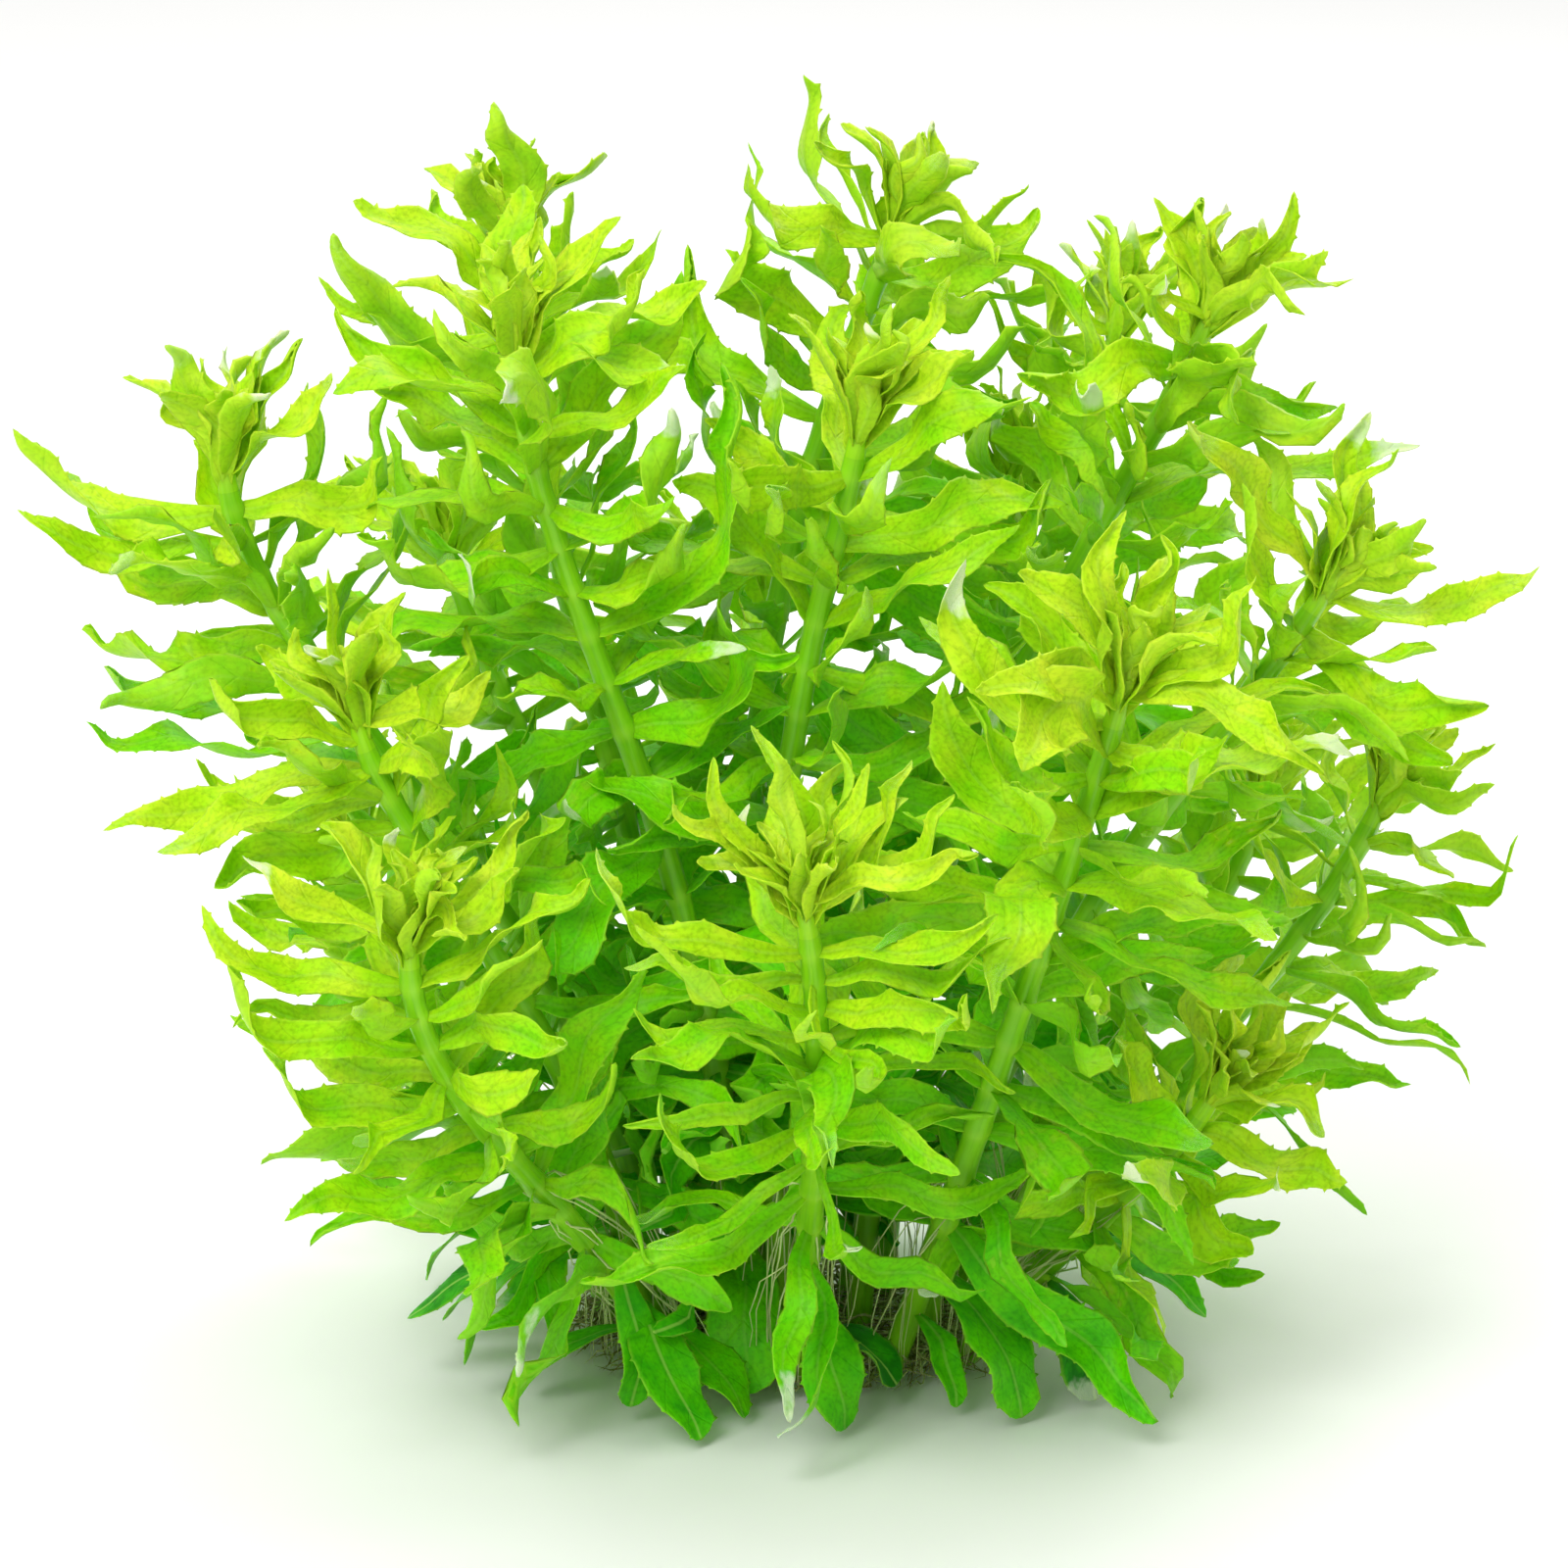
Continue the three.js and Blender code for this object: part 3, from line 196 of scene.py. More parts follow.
# %% The shoots
# Each shoot is a smooth curve from its foot, [x, y] on the root mat, by two guide points to its crown,
# each [across, rise, depth] as the camera sees it. After them come its size, the length of its foot that
# bears no leaves, and whether its leaves are narrow.
# Its marks are the leaves of the outline: [whorl, across, rise, depth, width, bow], where whorl 0 is the
# crown and bow is the height of the leaf's arch, below 0 where the leaf sags and its tip turns up.
SHOOT_PARTS = ("foot", "low", "high", "crown", "size", "bare", "narrow", "marks")
SHOOTS = [dict(zip(SHOOT_PARTS, row)) for row in [
  ([-14, 7], [-20, -30, 10], [-54, 48, 23], [-56, 113, 23], 0.95, 105, False, [
    [0, -60, 139, 15, 11, 0.05], [0, -50, 132, 30, 7, 0.05], [0, -35, 128, 20, 11, 0.2],
    [0, -63, 127, 5, 8, 0.1], [1, -88, 119, 20, 11, 0.1], [1, -71, 122, 40, 8, 0.1],
    [2, -92, 112, 10, 10, -0.12], [2, -31, 112, 25, 9, 0.15], [5, -82, 73, 5, 10, -0.2],
  ]),
  ([-12, -9], [-8, -10, -20], [-52, 32, -32], [-55, 93, -32], 1.05, 70, False, [
    [0, -28, 105, -40, 12, -0.08], [0, -15, 102, -25, 13, 0.05], [0, -63, 107, -38, 8, 0.05],
    [1, -92, 79, -45, 12, 0.12], [1, -20, 85, -40, 12, 0.2], [2, -84, 81, -15, 12, 0.1],
    [3, -23, 77, -45, 11, -0.12], [4, -13, 86, -38, 12, -0.2],
  ]),
  ([-27, -3], [-32, -20, -12], [-117, 22, -12], [-114, 70, -12], 1, 55, False, [
    [0, -126, 89, -22, 11, 0.12], [0, -98, 91, -5, 8, 0.04], [0, -92, 84, -18, 10, 0.02],
    [0, -104, 84, 4, 7, 0.05], [0, -127, 79, -4, 5, -0.05], [1, -156, 73, -20, 12, -0.16],
    [1, -80, 66, -14, 11, -0.08], [2, -150, 66, -2, 10, -0.18], [2, -138, 43, -40, 12, 0.02],
    [4, -140, 23, -14, 10, -0.1], [4, -143, 12, -30, 10, -0.08],
  ]),
  ([-30, -12], [-32, -52, -42], [-85, -12, -57], [-88, 17, -57], 0.95, 40, False, [
    [0, -95, 44, -60, 5, 0.04], [0, -119, 20, -75, 11, -0.05], [0, -108, 28, -50, 10, 0.12],
    [0, -60, 23, -60, 11, -0.05], [1, -139, -9, -62, 10, 0.03], [1, -128, -14, -78, 10, 0.04],
    [3, -112, -24, -60, 9, -0.05],
  ]),
  ([-25, -20], [-42, -78, -62], [-82, -66, -92], [-76, -27, -90], 0.9, 22, False, [
    [0, -86, -11, -96, 9, 0.02], [0, -70, -19, -108, 9, 0.1], [0, -54, -17, -94, 8, 0.02],
    [0, -53, -5, -76, 7, 0.02], [0, -110, -14, -92, 9, -0.04], [0, -65, -32, -122, 7, 0.25],
    [1, -119, -25, -96, 10, -0.06], [1, -40, -19, -92, 9, 0.02], [2, -115, -37, -110, 9, -0.08],
    [2, -44, -53, -110, 9, 0.08], [3, -108, -54, -92, 10, -0.12], [4, -102, -90, -105, 11, 0.02],
    [5, -64, -105, -100, 11, 0.16], [6, -55, -121, -90, 9, 0.2],
  ]),
  ([-4, 14], [-20, 24, 18], [10, 76, 33], [24, 117, 33], 1, 105, False, [
    [0, 28, 133, 33, 9, 0.04], [0, 9, 137, 45, 5, -0.05], [0, 5, 131, 20, 9, 0.12],
    [0, -9, 126, 15, 13, -0.12], [0, 49, 123, 30, 8, -0.12], [0, 44, 107, 5, 8, 0.25],
    [2, 42, 99, 20, 10, 0.05], [3, -19, 110, 25, 11, -0.16], [4, -15, 92, 15, 10, -0.14],
  ]),
  ([-1, -11], [-12, 0, -22], [12, 42, -27], [16, 77, -27], 1, 70, False, [
    [0, 15, 101, -25, 10, 0.03], [0, 21, 98, -40, 7, 0.05], [0, 34, 104, -18, 8, 0.03],
    [0, 38, 90, -30, 9, 0.06], [1, 51, 77, -38, 10, 0.05], [3, 47, 53, -48, 10, 0.03],
    [1, -12, 66, -50, 11, -0.1], [3, -22, 62, -40, 11, 0.15],
  ]),
  ([13, 0], [20, 8, -4], [78, 64, -2], [88, 99, -2], 1, 70, False, [
    [0, 84, 119, 10, 10, 0.1], [0, 104, 121, 0, 10, 0.04], [0, 110, 108, -10, 9, 0.05],
    [0, 107, 96, -25, 9, 0.25], [0, 68, 102, -20, 8, 0.08], [1, 48, 83, -30, 12, 0.05],
    [1, 92, 73, -30, 14, 0.22], [3, 130, 69, 0, 10, 0.08], [3, 50, 78, 10, 11, 0.1],
  ]),
  ([11, 16], [26, 0, 38], [64, 64, 53], [69, 98, 58], 0.95, 100, False, [
    [0, 72, 115, 55, 9, 0.05], [0, 64, 106, 60, 9, 0.1], [0, 51, 105, 50, 8, -0.1],
    [1, 50, 95, 40, 10, -0.08],
  ]),
  ([26, -6], [36, -40, -17], [98, 16, -22], [113, 44, -22], 1, 60, False, [
    [0, 120, 76, -15, 9, 0.03], [0, 126, 68, -25, 9, 0.06], [0, 131, 55, -32, 9, 0.12],
    [0, 155, 44, -22, 10, -0.12], [0, 82, 74, -45, 12, 0.05], [0, 95, 73, -8, 10, -0.05],
    [1, 144, 16, -40, 12, -0.12], [2, 136, 4, -30, 11, 0.1],
  ]),
  ([19, -19], [44, -60, -62], [62, -6, -84], [70, 22, -82], 1.1, 30, False, [
    [0, 37, 46, -85, 13, -0.25], [0, 77, 51, -80, 8, 0.04], [0, 70, 56, -85, 10, -0.05],
    [0, 40, 19, -110, 12, 0.15], [0, 98, 42, -90, 10, -0.06], [0, 111, 2, -100, 12, 0.15],
    [1, 48, 2, -112, 17, 0.2], [1, 91, 10, -95, 12, -0.15], [3, 42, -47, -115, 15, 0.22],
    [3, 100, -31, -110, 14, 0.08],
  ]),
  ([0, -22], [6, -84, -62], [10, -50, -102], [3, -21, -104], 1, 24, True, [
    [0, -7, 12, -100, 7, 0.03], [0, -15, 6, -112, 6, 0.03], [0, 10, 9, -95, 6, 0.03],
    [0, 26, 5, -105, 7, 0.03], [0, 17, 4, -118, 6, 0.04], [0, 35, -2, -108, 7, -0.03],
    [0, -22, -5, -120, 7, 0.04], [0, 39, -16, -118, 7, 0.03], [0, -2, 8, -118, 7, 0.04],
    [1, -38, -13, -125, 8, -0.1], [1, 44, -26, -115, 8, -0.03], [2, -29, -28, -130, 8, -0.04],
    [3, -31, -56, -125, 10, 0.08], [3, 37, -48, -122, 10, 0.1], [4, -25, -63, -118, 9, -0.14],
    [4, 35, -79, -112, 9, 0.18], [4, 11, -78, -125, 10, 0.3],
  ]),
  ([38, 1], [60, -76, 8], [114, -32, 13], [123, 1, 13], 0.95, 40, True, [
    [0, 145, 9, 10, 6, 0.05], [0, 145, 0, 0, 8, 0.12], [1, 149, -17, 5, 7, 0.05],
    [1, 137, -19, -10, 7, 0.2], [2, 143, -34, 5, 7, 0.14], [3, 138, -55, -5, 8, 0.05],
    [3, 134, -38, 30, 8, 0.03], [4, 128, -62, 0, 8, 0.1], [5, 118, -59, -15, 8, 0.12],
  ]),
  ([34, -14], [46, -100, -22], [76, -84, -42], [90, -60, -50], 0.95, 26, False, [
    [0, 104, -34, -52, 9, 0.05], [0, 115, -44, -45, 9, 0.08], [0, 110, -72, -62, 10, 0.12],
    [1, 115, -82, -50, 12, 0.08], [2, 95, -95, -62, 11, -0.06], [2, 70, -78, -85, 10, 0.1],
    [1, 66, -52, -72, 10, 0.06],
  ]),
  ([-22, 16], [-24, -30, 38], [-66, 20, 58], [-69, 54, 63], 1, 60, False, [
    [1, -100, 60, 50, 10, 0.1], [2, -104, 38, 52, 10, 0.1],
  ]),
  ([-2, 28], [4, -48, 62], [2, 0, 94], [-6, 46, 98], 1, 45, False, []),
  ([18, 25], [26, -20, 46], [44, 30, 70], [46, 64, 74], 1, 60, False, []),
  ([31, 14], [56, -64, 42], [92, -32, 68], [98, 0, 72], 1, 30, False, []),
  ([-38, 7], [-40, -70, 36], [-84, -40, 62], [-88, -8, 66], 1, 30, False, []),
]]

# Each old leaf near the ground: [shoot, height of its node, x, y and z of its tip, width].
FOOT_LEAVES = [
  [4, 24, -18, -61, 2, 12], [4, 17, -9, -51, 3, 12], [1, 24, -4, -42, 4, 15], [4, 32, -30, -50, 4, 8],
  [4, 14, -54, -34, 4, 9], [3, 34, -66, -36, 8, 9], [3, 26, -78, -24, 14, 9], [2, 20, -72, -4, 6, 9],
  [11, 24, 11, -56, 2, 12], [11, 16, 20, -42, 6, 13], [10, 26, 46, -50, 2, 14], [10, 16, 33, -46, 3, 6],
  [13, 22, 60, -40, 2, 13], [13, 16, 64, -24, 6, 10], [12, 22, 84, -8, 8, 9], [17, 18, 70, 34, 3, 10],
  [16, 18, 44, 60, 3, 10], [15, 16, 4, 66, 3, 11], [15, 24, -18, 62, 4, 10], [14, 18, -48, 48, 3, 10],
  [18, 20, -78, 26, 4, 10],
]
print(len(SHOOTS), "shoots with", sum(len(shoot["marks"]) for shoot in SHOOTS), "leaves placed by hand")

# %% Repeatable numbers
# Python's own random numbers would differ from those that shaped the solids, so the same small recipe
# stirs a whole number into a share from 0 to 1: the same seed always gives the same share.
MIXERS = (2654435761, 2246822519)
SHIFTS = (15, 13)
MOST = 20  # whorls on a shoot, and leaves on a whorl
LEAF_SEEDS = 16  # seeds set aside for each leaf
FOOT_SEEDS = 90000
WHOLE = 2 ** 32


def chance(seed):
    n = seed + 1
    for mixer, shift in zip(MIXERS, SHIFTS):
        n = n * mixer % WHOLE
        n ^= n >> shift
    return n / WHOLE


def between(seed, low, high):
    return low + (high - low) * chance(seed)


def part_way(ends, share):
    """The value that lies at the share from one end to the other."""
    return ends[0] + (ends[1] - ends[0]) * share


def drawn(seed, ranges):
    """One number out of each named range, by seeds in a row."""
    return {name: between(seed + i, *ends) for i, (name, ends) in enumerate(ranges.items(), 1)}


def seed_of(shoot, whorl, leaf):
    return ((shoot * MOST + whorl) * MOST + leaf) * LEAF_SEEDS


print("the first three shares:", [round(chance(seed), 4) for seed in range(3)])

# %% Curves
# Stems and leaves' midlines are cubic Bezier curves: a start, two guide points and an end.


def unit(vector):
    return vector / np.linalg.norm(vector, axis=-1, keepdims=True)


def on_curve(curve, t):
    """The point or points of a curve at the share or shares t."""
    t = np.asarray(t, float)[..., None]
    a, b, c, d = curve
    return (1 - t) ** 3 * a + 3 * (1 - t) ** 2 * t * b + 3 * (1 - t) * t ** 2 * c + t ** 3 * d


def way_of(curve, t):
    """The curve's direction at t."""
    step = 1e-4
    before, after = np.maximum(t - step, 0), np.minimum(t + step, 1)
    return unit(on_curve(curve, after) - on_curve(curve, before))


def seen(across, rise, depth):
    """The point that the camera sees at across and rise from its middle, at the given depth along +Y."""
    shown = VIEW_MIDDLE + [across, rise * math.sin(VIEW_TILT), rise * math.cos(VIEW_TILT)]
    return eye + (shown - eye) * (depth - eye[1]) / (shown[1] - eye[1])


stems = [
    np.array([[*shoot["foot"], 0], seen(*shoot["low"]), seen(*shoot["high"]), seen(*shoot["crown"])])
    for shoot in SHOOTS
]
STEM_CHORDS = 200
stem_runs = []  # for each stem, the length from its top down to each of its chords' ends
for stem in stems:
    chords = np.linalg.norm(np.diff(on_curve(stem, np.linspace(0, 1, STEM_CHORDS + 1)), axis=0), axis=1)
    stem_runs.append(np.concatenate([[0], np.cumsum(chords[::-1])]))


def below(shoot, length):
    """The curve share that lies the given length below the top of a stem."""
    return max(0, 1 - np.interp(length, stem_runs[shoot], np.arange(STEM_CHORDS + 1)) / STEM_CHORDS)


def stem_radius(s):
    return STEM_RADIUS_FOOT + (STEM_RADIUS_TOP - STEM_RADIUS_FOOT) * s


def axes_at(stem, s):
    """Directions across a stem: its own way, and two square to it."""
    axis = way_of(stem, s)
    east = unit(np.array([1.0, 0, 0]) - axis * axis[..., :1])
    return axis, east, np.cross(axis, east)


print("stems are", [round(float(run[-1])) for run in stem_runs], "mm long")

# %% A leaf's midline and blade


def make_leaf(root, base, tip, lift, width, seed, bow=0, hook=0, sway=0, roll=0, twist=0):
    """A leaf as a dict: its curved midline, and the way its face looks, leans and twists. bow, hook and
    sway are the shares of its length by which it arches, drops its tip and bends aside."""
    chord = tip - base
    length = np.linalg.norm(chord)
    along = chord / length
    up = unit(lift - along * (lift @ along))
    side = np.cross(along, up)
    rises = (bow * HANDLE_RISE, bow * HANDLE_RISE - hook)
    guides = [
        base + chord * share + (up * rise + side * sway) * length
        for share, rise in zip(HANDLE_SHARES, rises)
    ]
    outward = (base + tip) / 2 - LEAN_AXIS
    lean = roll if side[:2] @ outward[:2] > 0 else -roll
    midline = np.array([base, *guides, tip])
    return {"midline": midline, "root": root, "up": up, "roll": lean, "twist": twist, "width": width,
            "length": length, "seed": seed}


FOOT_FLARE, TIP_FLARE = 1.4, 0.8  # powers: a higher one widens later from the foot, or narrows sooner


def outline(s):
    """Half the blade's width, as a share of half the leaf's width: narrow foot, widest past the middle."""
    towards_tip = np.cos(math.pi / 2 * np.clip((s - WIDEST_AT) / (1 - WIDEST_AT), 0, 1)) ** TIP_FLARE
    from_foot = np.sin(math.pi / 2 * np.clip(s / WIDEST_AT, 0, 1)) ** FOOT_FLARE
    return np.where(s < WIDEST_AT, FOOT_WIDTH + (1 - FOOT_WIDTH) * from_foot, towards_tip)


def blade_at(leaf, s):
    """The blade's frame at the shares s: centre, midline's way, face normal, side and half width."""
    s = np.asarray(s, float)
    centre = on_curve(leaf["midline"], s)
    way = way_of(leaf["midline"], s)
    face = unit(leaf["up"] - way * (way @ leaf["up"])[..., None])
    turn = (leaf["roll"] + leaf["twist"] * s)[..., None]
    face = face * np.cos(turn) + np.cross(way, face) * np.sin(turn)
    return centre, way, face, np.cross(way, face), leaf["width"] / 2 * outline(s)


print("the blade's half width from foot to tip:", np.round(outline(np.linspace(0, 1, 6)), 2))

# %% Room between leaves
# A leaf is tried in a few places. It keeps the first one where no point of it comes too near another
# leaf, a stem or the ground, or else the roomiest one.
MIDLINE_PROBES = np.array([0.2, 0.3, 0.4, 0.5, 0.6, 0.7, 0.8, 0.9, 1])
MIDDLE_PROBE = 3
EDGE_PROBES = np.array([0.4, 0.5, 0.6, 0.7])
EDGE_PROBE_REACH = 0.75  # of half the width
STEM_PROBES = 60
stem_probes = np.array([on_curve(stem, np.linspace(0, 1, STEM_PROBES + 1)) for stem in stems])
placed = {"shoots": [], "probes": []}


def probes_of(leaf):
    centre, _, _, side, half = blade_at(leaf, EDGE_PROBES)
    reach = side * half[:, None] * EDGE_PROBE_REACH
    return np.concatenate([on_curve(leaf["midline"], MIDLINE_PROBES), centre + reach, centre - reach])


def nearest(points, groups):
    """The least distance from points to each group of points."""
    return np.linalg.norm(groups[:, :, None] - points, axis=-1).min(axis=(1, 2))


def room(leaf, shoot):
    """How far a leaf is from trouble: below 0 where it comes too near something."""
    probes = probes_of(leaf)
    spaces = [probes[:, 2].min() - CLEAR_OF_GROUND]
    other_stems = np.arange(len(stems)) != shoot
    spaces.append(nearest(probes, stem_probes[other_stems]).min() - CLEAR_OF_STEM)
    if placed["shoots"]:
        others = np.array(placed["probes"])
        apart = np.linalg.norm(others[:, MIDDLE_PROBE] - probes[MIDDLE_PROBE], axis=1)
        close = apart <= REACH
        need = np.where(np.array(placed["shoots"]) == shoot, CLEAR_OF_OWN, CLEAR_OF_OTHERS)
        spaces.extend(nearest(probes, others[close]) - need[close])
    return min(spaces)


def settle(shoot, tries, make):
    best, best_space = None, -math.inf
    for attempt in tries:
        leaf = make(*attempt)
        space = room(leaf, shoot)
        if space > best_space:
            best, best_space = leaf, space
        if space >= 0:
            break
    placed["shoots"].append(shoot)
    placed["probes"].append(probes_of(best))
    return best


# %% Tries, shapes and kinds of leaves
DEPTH_TRIES = [(0,), (-7,), (7,), (-14,), (14,), (-21,), (21,)]  # mm
TURN_TRIES = [  # (degrees more turn, degrees more climb, share of the length)
    (0, 0, 1), (14, 6, 1), (-14, -6, 1), (26, -10, 0.95), (-26, 12, 0.95), (8, 22, 0.9),
    (-8, -20, 0.9), (38, 0, 0.85), (-38, 0, 0.85), (0, 30, 0.75), (0, -28, 0.75), (0, 12, 0.6),
]
# A leaf's own shape is drawn from ranges, of shares of its length, and of radians for its roll and twist.
MARKED_SHAPE = {"hook": (-0.05, 0.22), "sway": (-0.13, 0.13), "roll": (0.35, 1.05), "twist": (-0.7, 0.7)}
FREE_SHAPE = {"bow": (-0.15, 0.15), "hook": (-0.08, 0.24), "sway": (-0.16, 0.16), "roll": (0.2, 1.05),
              "twist": (-0.8, 0.8)}
OLD_SHAPE = {"bow": (0.08, 0.16), "hook": (0, 0.05), "sway": (-0.08, 0.08), "twist": (-0.35, 0.35)}
DROOP_BOW = 0.4  # a drooping leaf arches by this share of its droop
# A kind of leaf: the ranges of its length and width, as shares of the usual ones, and the most that its tip
# hangs, as a share of its length.
CROWN_KIND, WHORL_KIND = ((1, 1), (0.85, 1.1), 0), ((0.85, 1.12), (0.82, 1.15), 0.3)
# How the climb, length and width go from the lowest leaf of a crown to the highest.
CROWN_CLIMB, CROWN_LENGTH, CROWN_WIDTH = (42, 80), (0.78, 0.36), (0.8, 0.52)
WHORL_CLIMB, CLIMB_LOST = (30, 50), 38  # by the oldest whorl
YOUNG_LENGTH = 0.86  # share of the length that leaves have when they are new
HEIGHT_STEP = 0.005  # share of a stem, in the search for a height on it
print("a leaf is tried in up to", len(DEPTH_TRIES), "depths or", len(TURN_TRIES), "turns")

# %% Leaves on a stem


def node_at(shoot, s):
    """A place on a stem that bears leaves."""
    axis, east, north = axes_at(stems[shoot], s)
    return {"shoot": shoot, "at": on_curve(stems[shoot], s), "radius": stem_radius(s),
            "axis": axis, "east": east, "north": north}


def out_of(spot, turn):
    """The way out of a stem at a turn round it."""
    return spot["east"] * math.cos(turn) + spot["north"] * math.sin(turn)


def chord_at(spot, turn, climb, rooting, length):
    """Foot and tip of a leaf at a turn round the stem, that climbs by degrees above square to it."""
    out, climb = out_of(spot, turn), math.radians(climb)
    base = spot["at"] + out * rooting
    return base, base + (out * math.cos(climb) + spot["axis"] * math.sin(climb)) * length


def marks_of(index, whorl):
    return [mark for mark in SHOOTS[index]["marks"] if mark[0] == whorl]


def marked_leaf(spot, seed, mark):
    """A leaf whose tip is given. It may move in depth to find room."""
    _, across, rise, depth, width, bow = mark

    def make(shift):
        tip = seen(across, rise, depth + shift)
        out = tip - spot["at"]
        out = unit(out - spot["axis"] * (out @ spot["axis"]))
        base = spot["at"] + out * (spot["radius"] - LEAF_ROOTING)
        return make_leaf(spot["at"], base, tip, spot["axis"] + UPWARD, width, seed, bow,
                         **drawn(seed, MARKED_SHAPE))

    return settle(spot["shoot"], DEPTH_TRIES, make)


def free_leaf(spot, seed, turn, climb, length, width, droop):
    """A leaf at a turn and climb that may both change to find room. Its tip may hang."""

    def make(more_turn, more_climb, share):
        base, tip = chord_at(spot, turn + math.radians(more_turn), climb + more_climb,
                             spot["radius"] - LEAF_ROOTING, length * share)
        tip[2] = max(tip[2] - droop * length, LOWEST_TIP)
        shape = drawn(seed, FREE_SHAPE)
        shape["bow"] += droop * DROOP_BOW
        return make_leaf(spot["at"], base, tip, spot["axis"] + UPWARD, width, seed, **shape)

    return settle(spot["shoot"], TURN_TRIES, make)


def sized_leaf(kind, spot, seed, turn, climb, length=1, width=1, age=0):
    """A free leaf of a kind. Its length and width are shares of what is usual for the kind."""
    lengths, widths, droop = kind
    shoot = SHOOTS[spot["shoot"]]
    girth = shoot["size"] * (NARROW_SHARE if shoot["narrow"] else 1)
    return free_leaf(
        spot, seed, turn, climb, LEAF_LENGTH * shoot["size"] * between(seed + 6, *lengths) * length,
        LEAF_WIDTH * girth * between(seed + 8, *widths) * width, droop * age * chance(seed + 7))


def turn_of(leaf, spot):
    """The turn round the stem at which a leaf leaves it."""
    way = leaf["midline"][3] - spot["at"]
    return math.atan2(way @ spot["north"], way @ spot["east"])


def free_turns(count, taken, phase):
    """The turns of a whorl's other leaves: evenly spaced from a listed one, or else by phase."""
    turns = []
    start = taken[0] if taken else phase
    for i in range(count):
        turn = start + 2 * math.pi * i / count
        near = any(math.cos(t - turn) > math.cos(math.pi / count) for t in taken)
        if len(taken) + len(turns) < count and not near:
            turns.append(turn)
    return turns


print("the first stem is", 2 * node_at(0, 0)["radius"], "mm thick at its foot")

# %% Crown, whorls and old leaves


def grow_crown(index):
    """The crown: young leaves up the last of the stem, the lower ones long and spread."""
    marks = marks_of(index, 0)
    count = max(CROWN_LEAVES, len(marks) + 2)
    leaves = []
    for i in range(count):
        up = (i + 0.5) / count
        spot = node_at(index, below(index, CROWN_STUB * (1 - up)))
        seed = seed_of(index, 0, i)
        if i < len(marks):
            leaves.append(marked_leaf(spot, seed, marks[i]))
            continue
        leaves.append(sized_leaf(
            CROWN_KIND, spot, seed, i * GOLDEN_ANGLE + chance(seed), part_way(CROWN_CLIMB, up),
            part_way(CROWN_LENGTH, up), part_way(CROWN_WIDTH, up)))
    return leaves


def whorl_depths(index):
    """The lengths below a stem's top at which its whorls sit."""
    down = internode = FIRST_INTERNODE
    depths = []
    while stem_runs[index][-1] - down > SHOOTS[index]["bare"]:
        depths.append(down)
        down += internode
        internode = min(internode + INTERNODE_GROWTH, LONGEST_INTERNODE)
    return depths


def grow_whorls(index):
    """The whorls below the crown, from young to old."""
    whorls = []
    for w, down in enumerate(whorl_depths(index), 1):
        spot = node_at(index, below(index, down))
        age = min(w / WHORLS_TO_SPREAD, 1)
        marks = marks_of(index, w)
        marked = [marked_leaf(spot, seed_of(index, w, i), mark) for i, mark in enumerate(marks)]
        taken = [turn_of(leaf, spot) for leaf in marked]
        count = YOUNG_WHORL if w <= YOUNG_WHORLS else OLD_WHORL
        phase = between(seed_of(index, w, MOST - 1), 0, 2 * math.pi)
        free = []
        for i, turn in enumerate(free_turns(count, taken, phase)):
            seed = seed_of(index, w, len(marks) + i)
            climb = between(seed, *WHORL_CLIMB) - CLIMB_LOST * age
            length = part_way((YOUNG_LENGTH, 1), age)
            free.append(sized_leaf(WHORL_KIND, spot, seed, turn, climb, length, age=age))
        whorls.append(marked + free)
    return whorls


def foot_leaf(index, shoot, height, x, y, z, width):
    """An old leaf near the ground. It may turn or shorten to find room."""
    s = 0
    while on_curve(stems[shoot], s)[2] < height:
        s += HEIGHT_STEP
    at = on_curve(stems[shoot], s)
    out = unit(np.array([x, y, height]) - at)
    base = at + out * (stem_radius(s) + FOOT_LEAF_STALK)
    seed = FOOT_SEEDS + index * LEAF_SEEDS

    def make(turn, _, share):
        t = math.radians(turn / 2)
        way = (np.array([x, y]) - base[:2]) * share
        end = base[:2] + [way[0] * math.cos(t) - way[1] * math.sin(t),
                          way[0] * math.sin(t) + way[1] * math.cos(t)]
        return make_leaf(at, base, np.array([*end, z]), np.array([0.0, 0, 1]), width, seed,
                         **drawn(seed, OLD_SHAPE))

    return settle(shoot, TURN_TRIES, make)


# %% Grow the plant
# Young leaves find their room first, then the rest from the crown down, then the old ones at the foot.
crowns = [grow_crown(i) for i in range(len(SHOOTS))]
whorls = [grow_whorls(i) for i in range(len(SHOOTS))]
foot_leaves = [foot_leaf(i, *row) for i, row in enumerate(FOOT_LEAVES)]
print(len(placed["shoots"]), "leaves,", sum(map(len, crowns)), "of them in crowns and", len(foot_leaves),
      "at the foot")

# %% [markdown]
# ## Leaves that fill the bush
# The solids have only the leaves that their few faces can pay for. The real bush has about twice as many:
# there is another, smaller whorl between each two, and more of them down the shaded part of a stem.
# They find room between the others and stay shorter, so that the bush keeps its outline. One leaf of each
# such whorl faces out of the bush, to the light, and hides its stem.

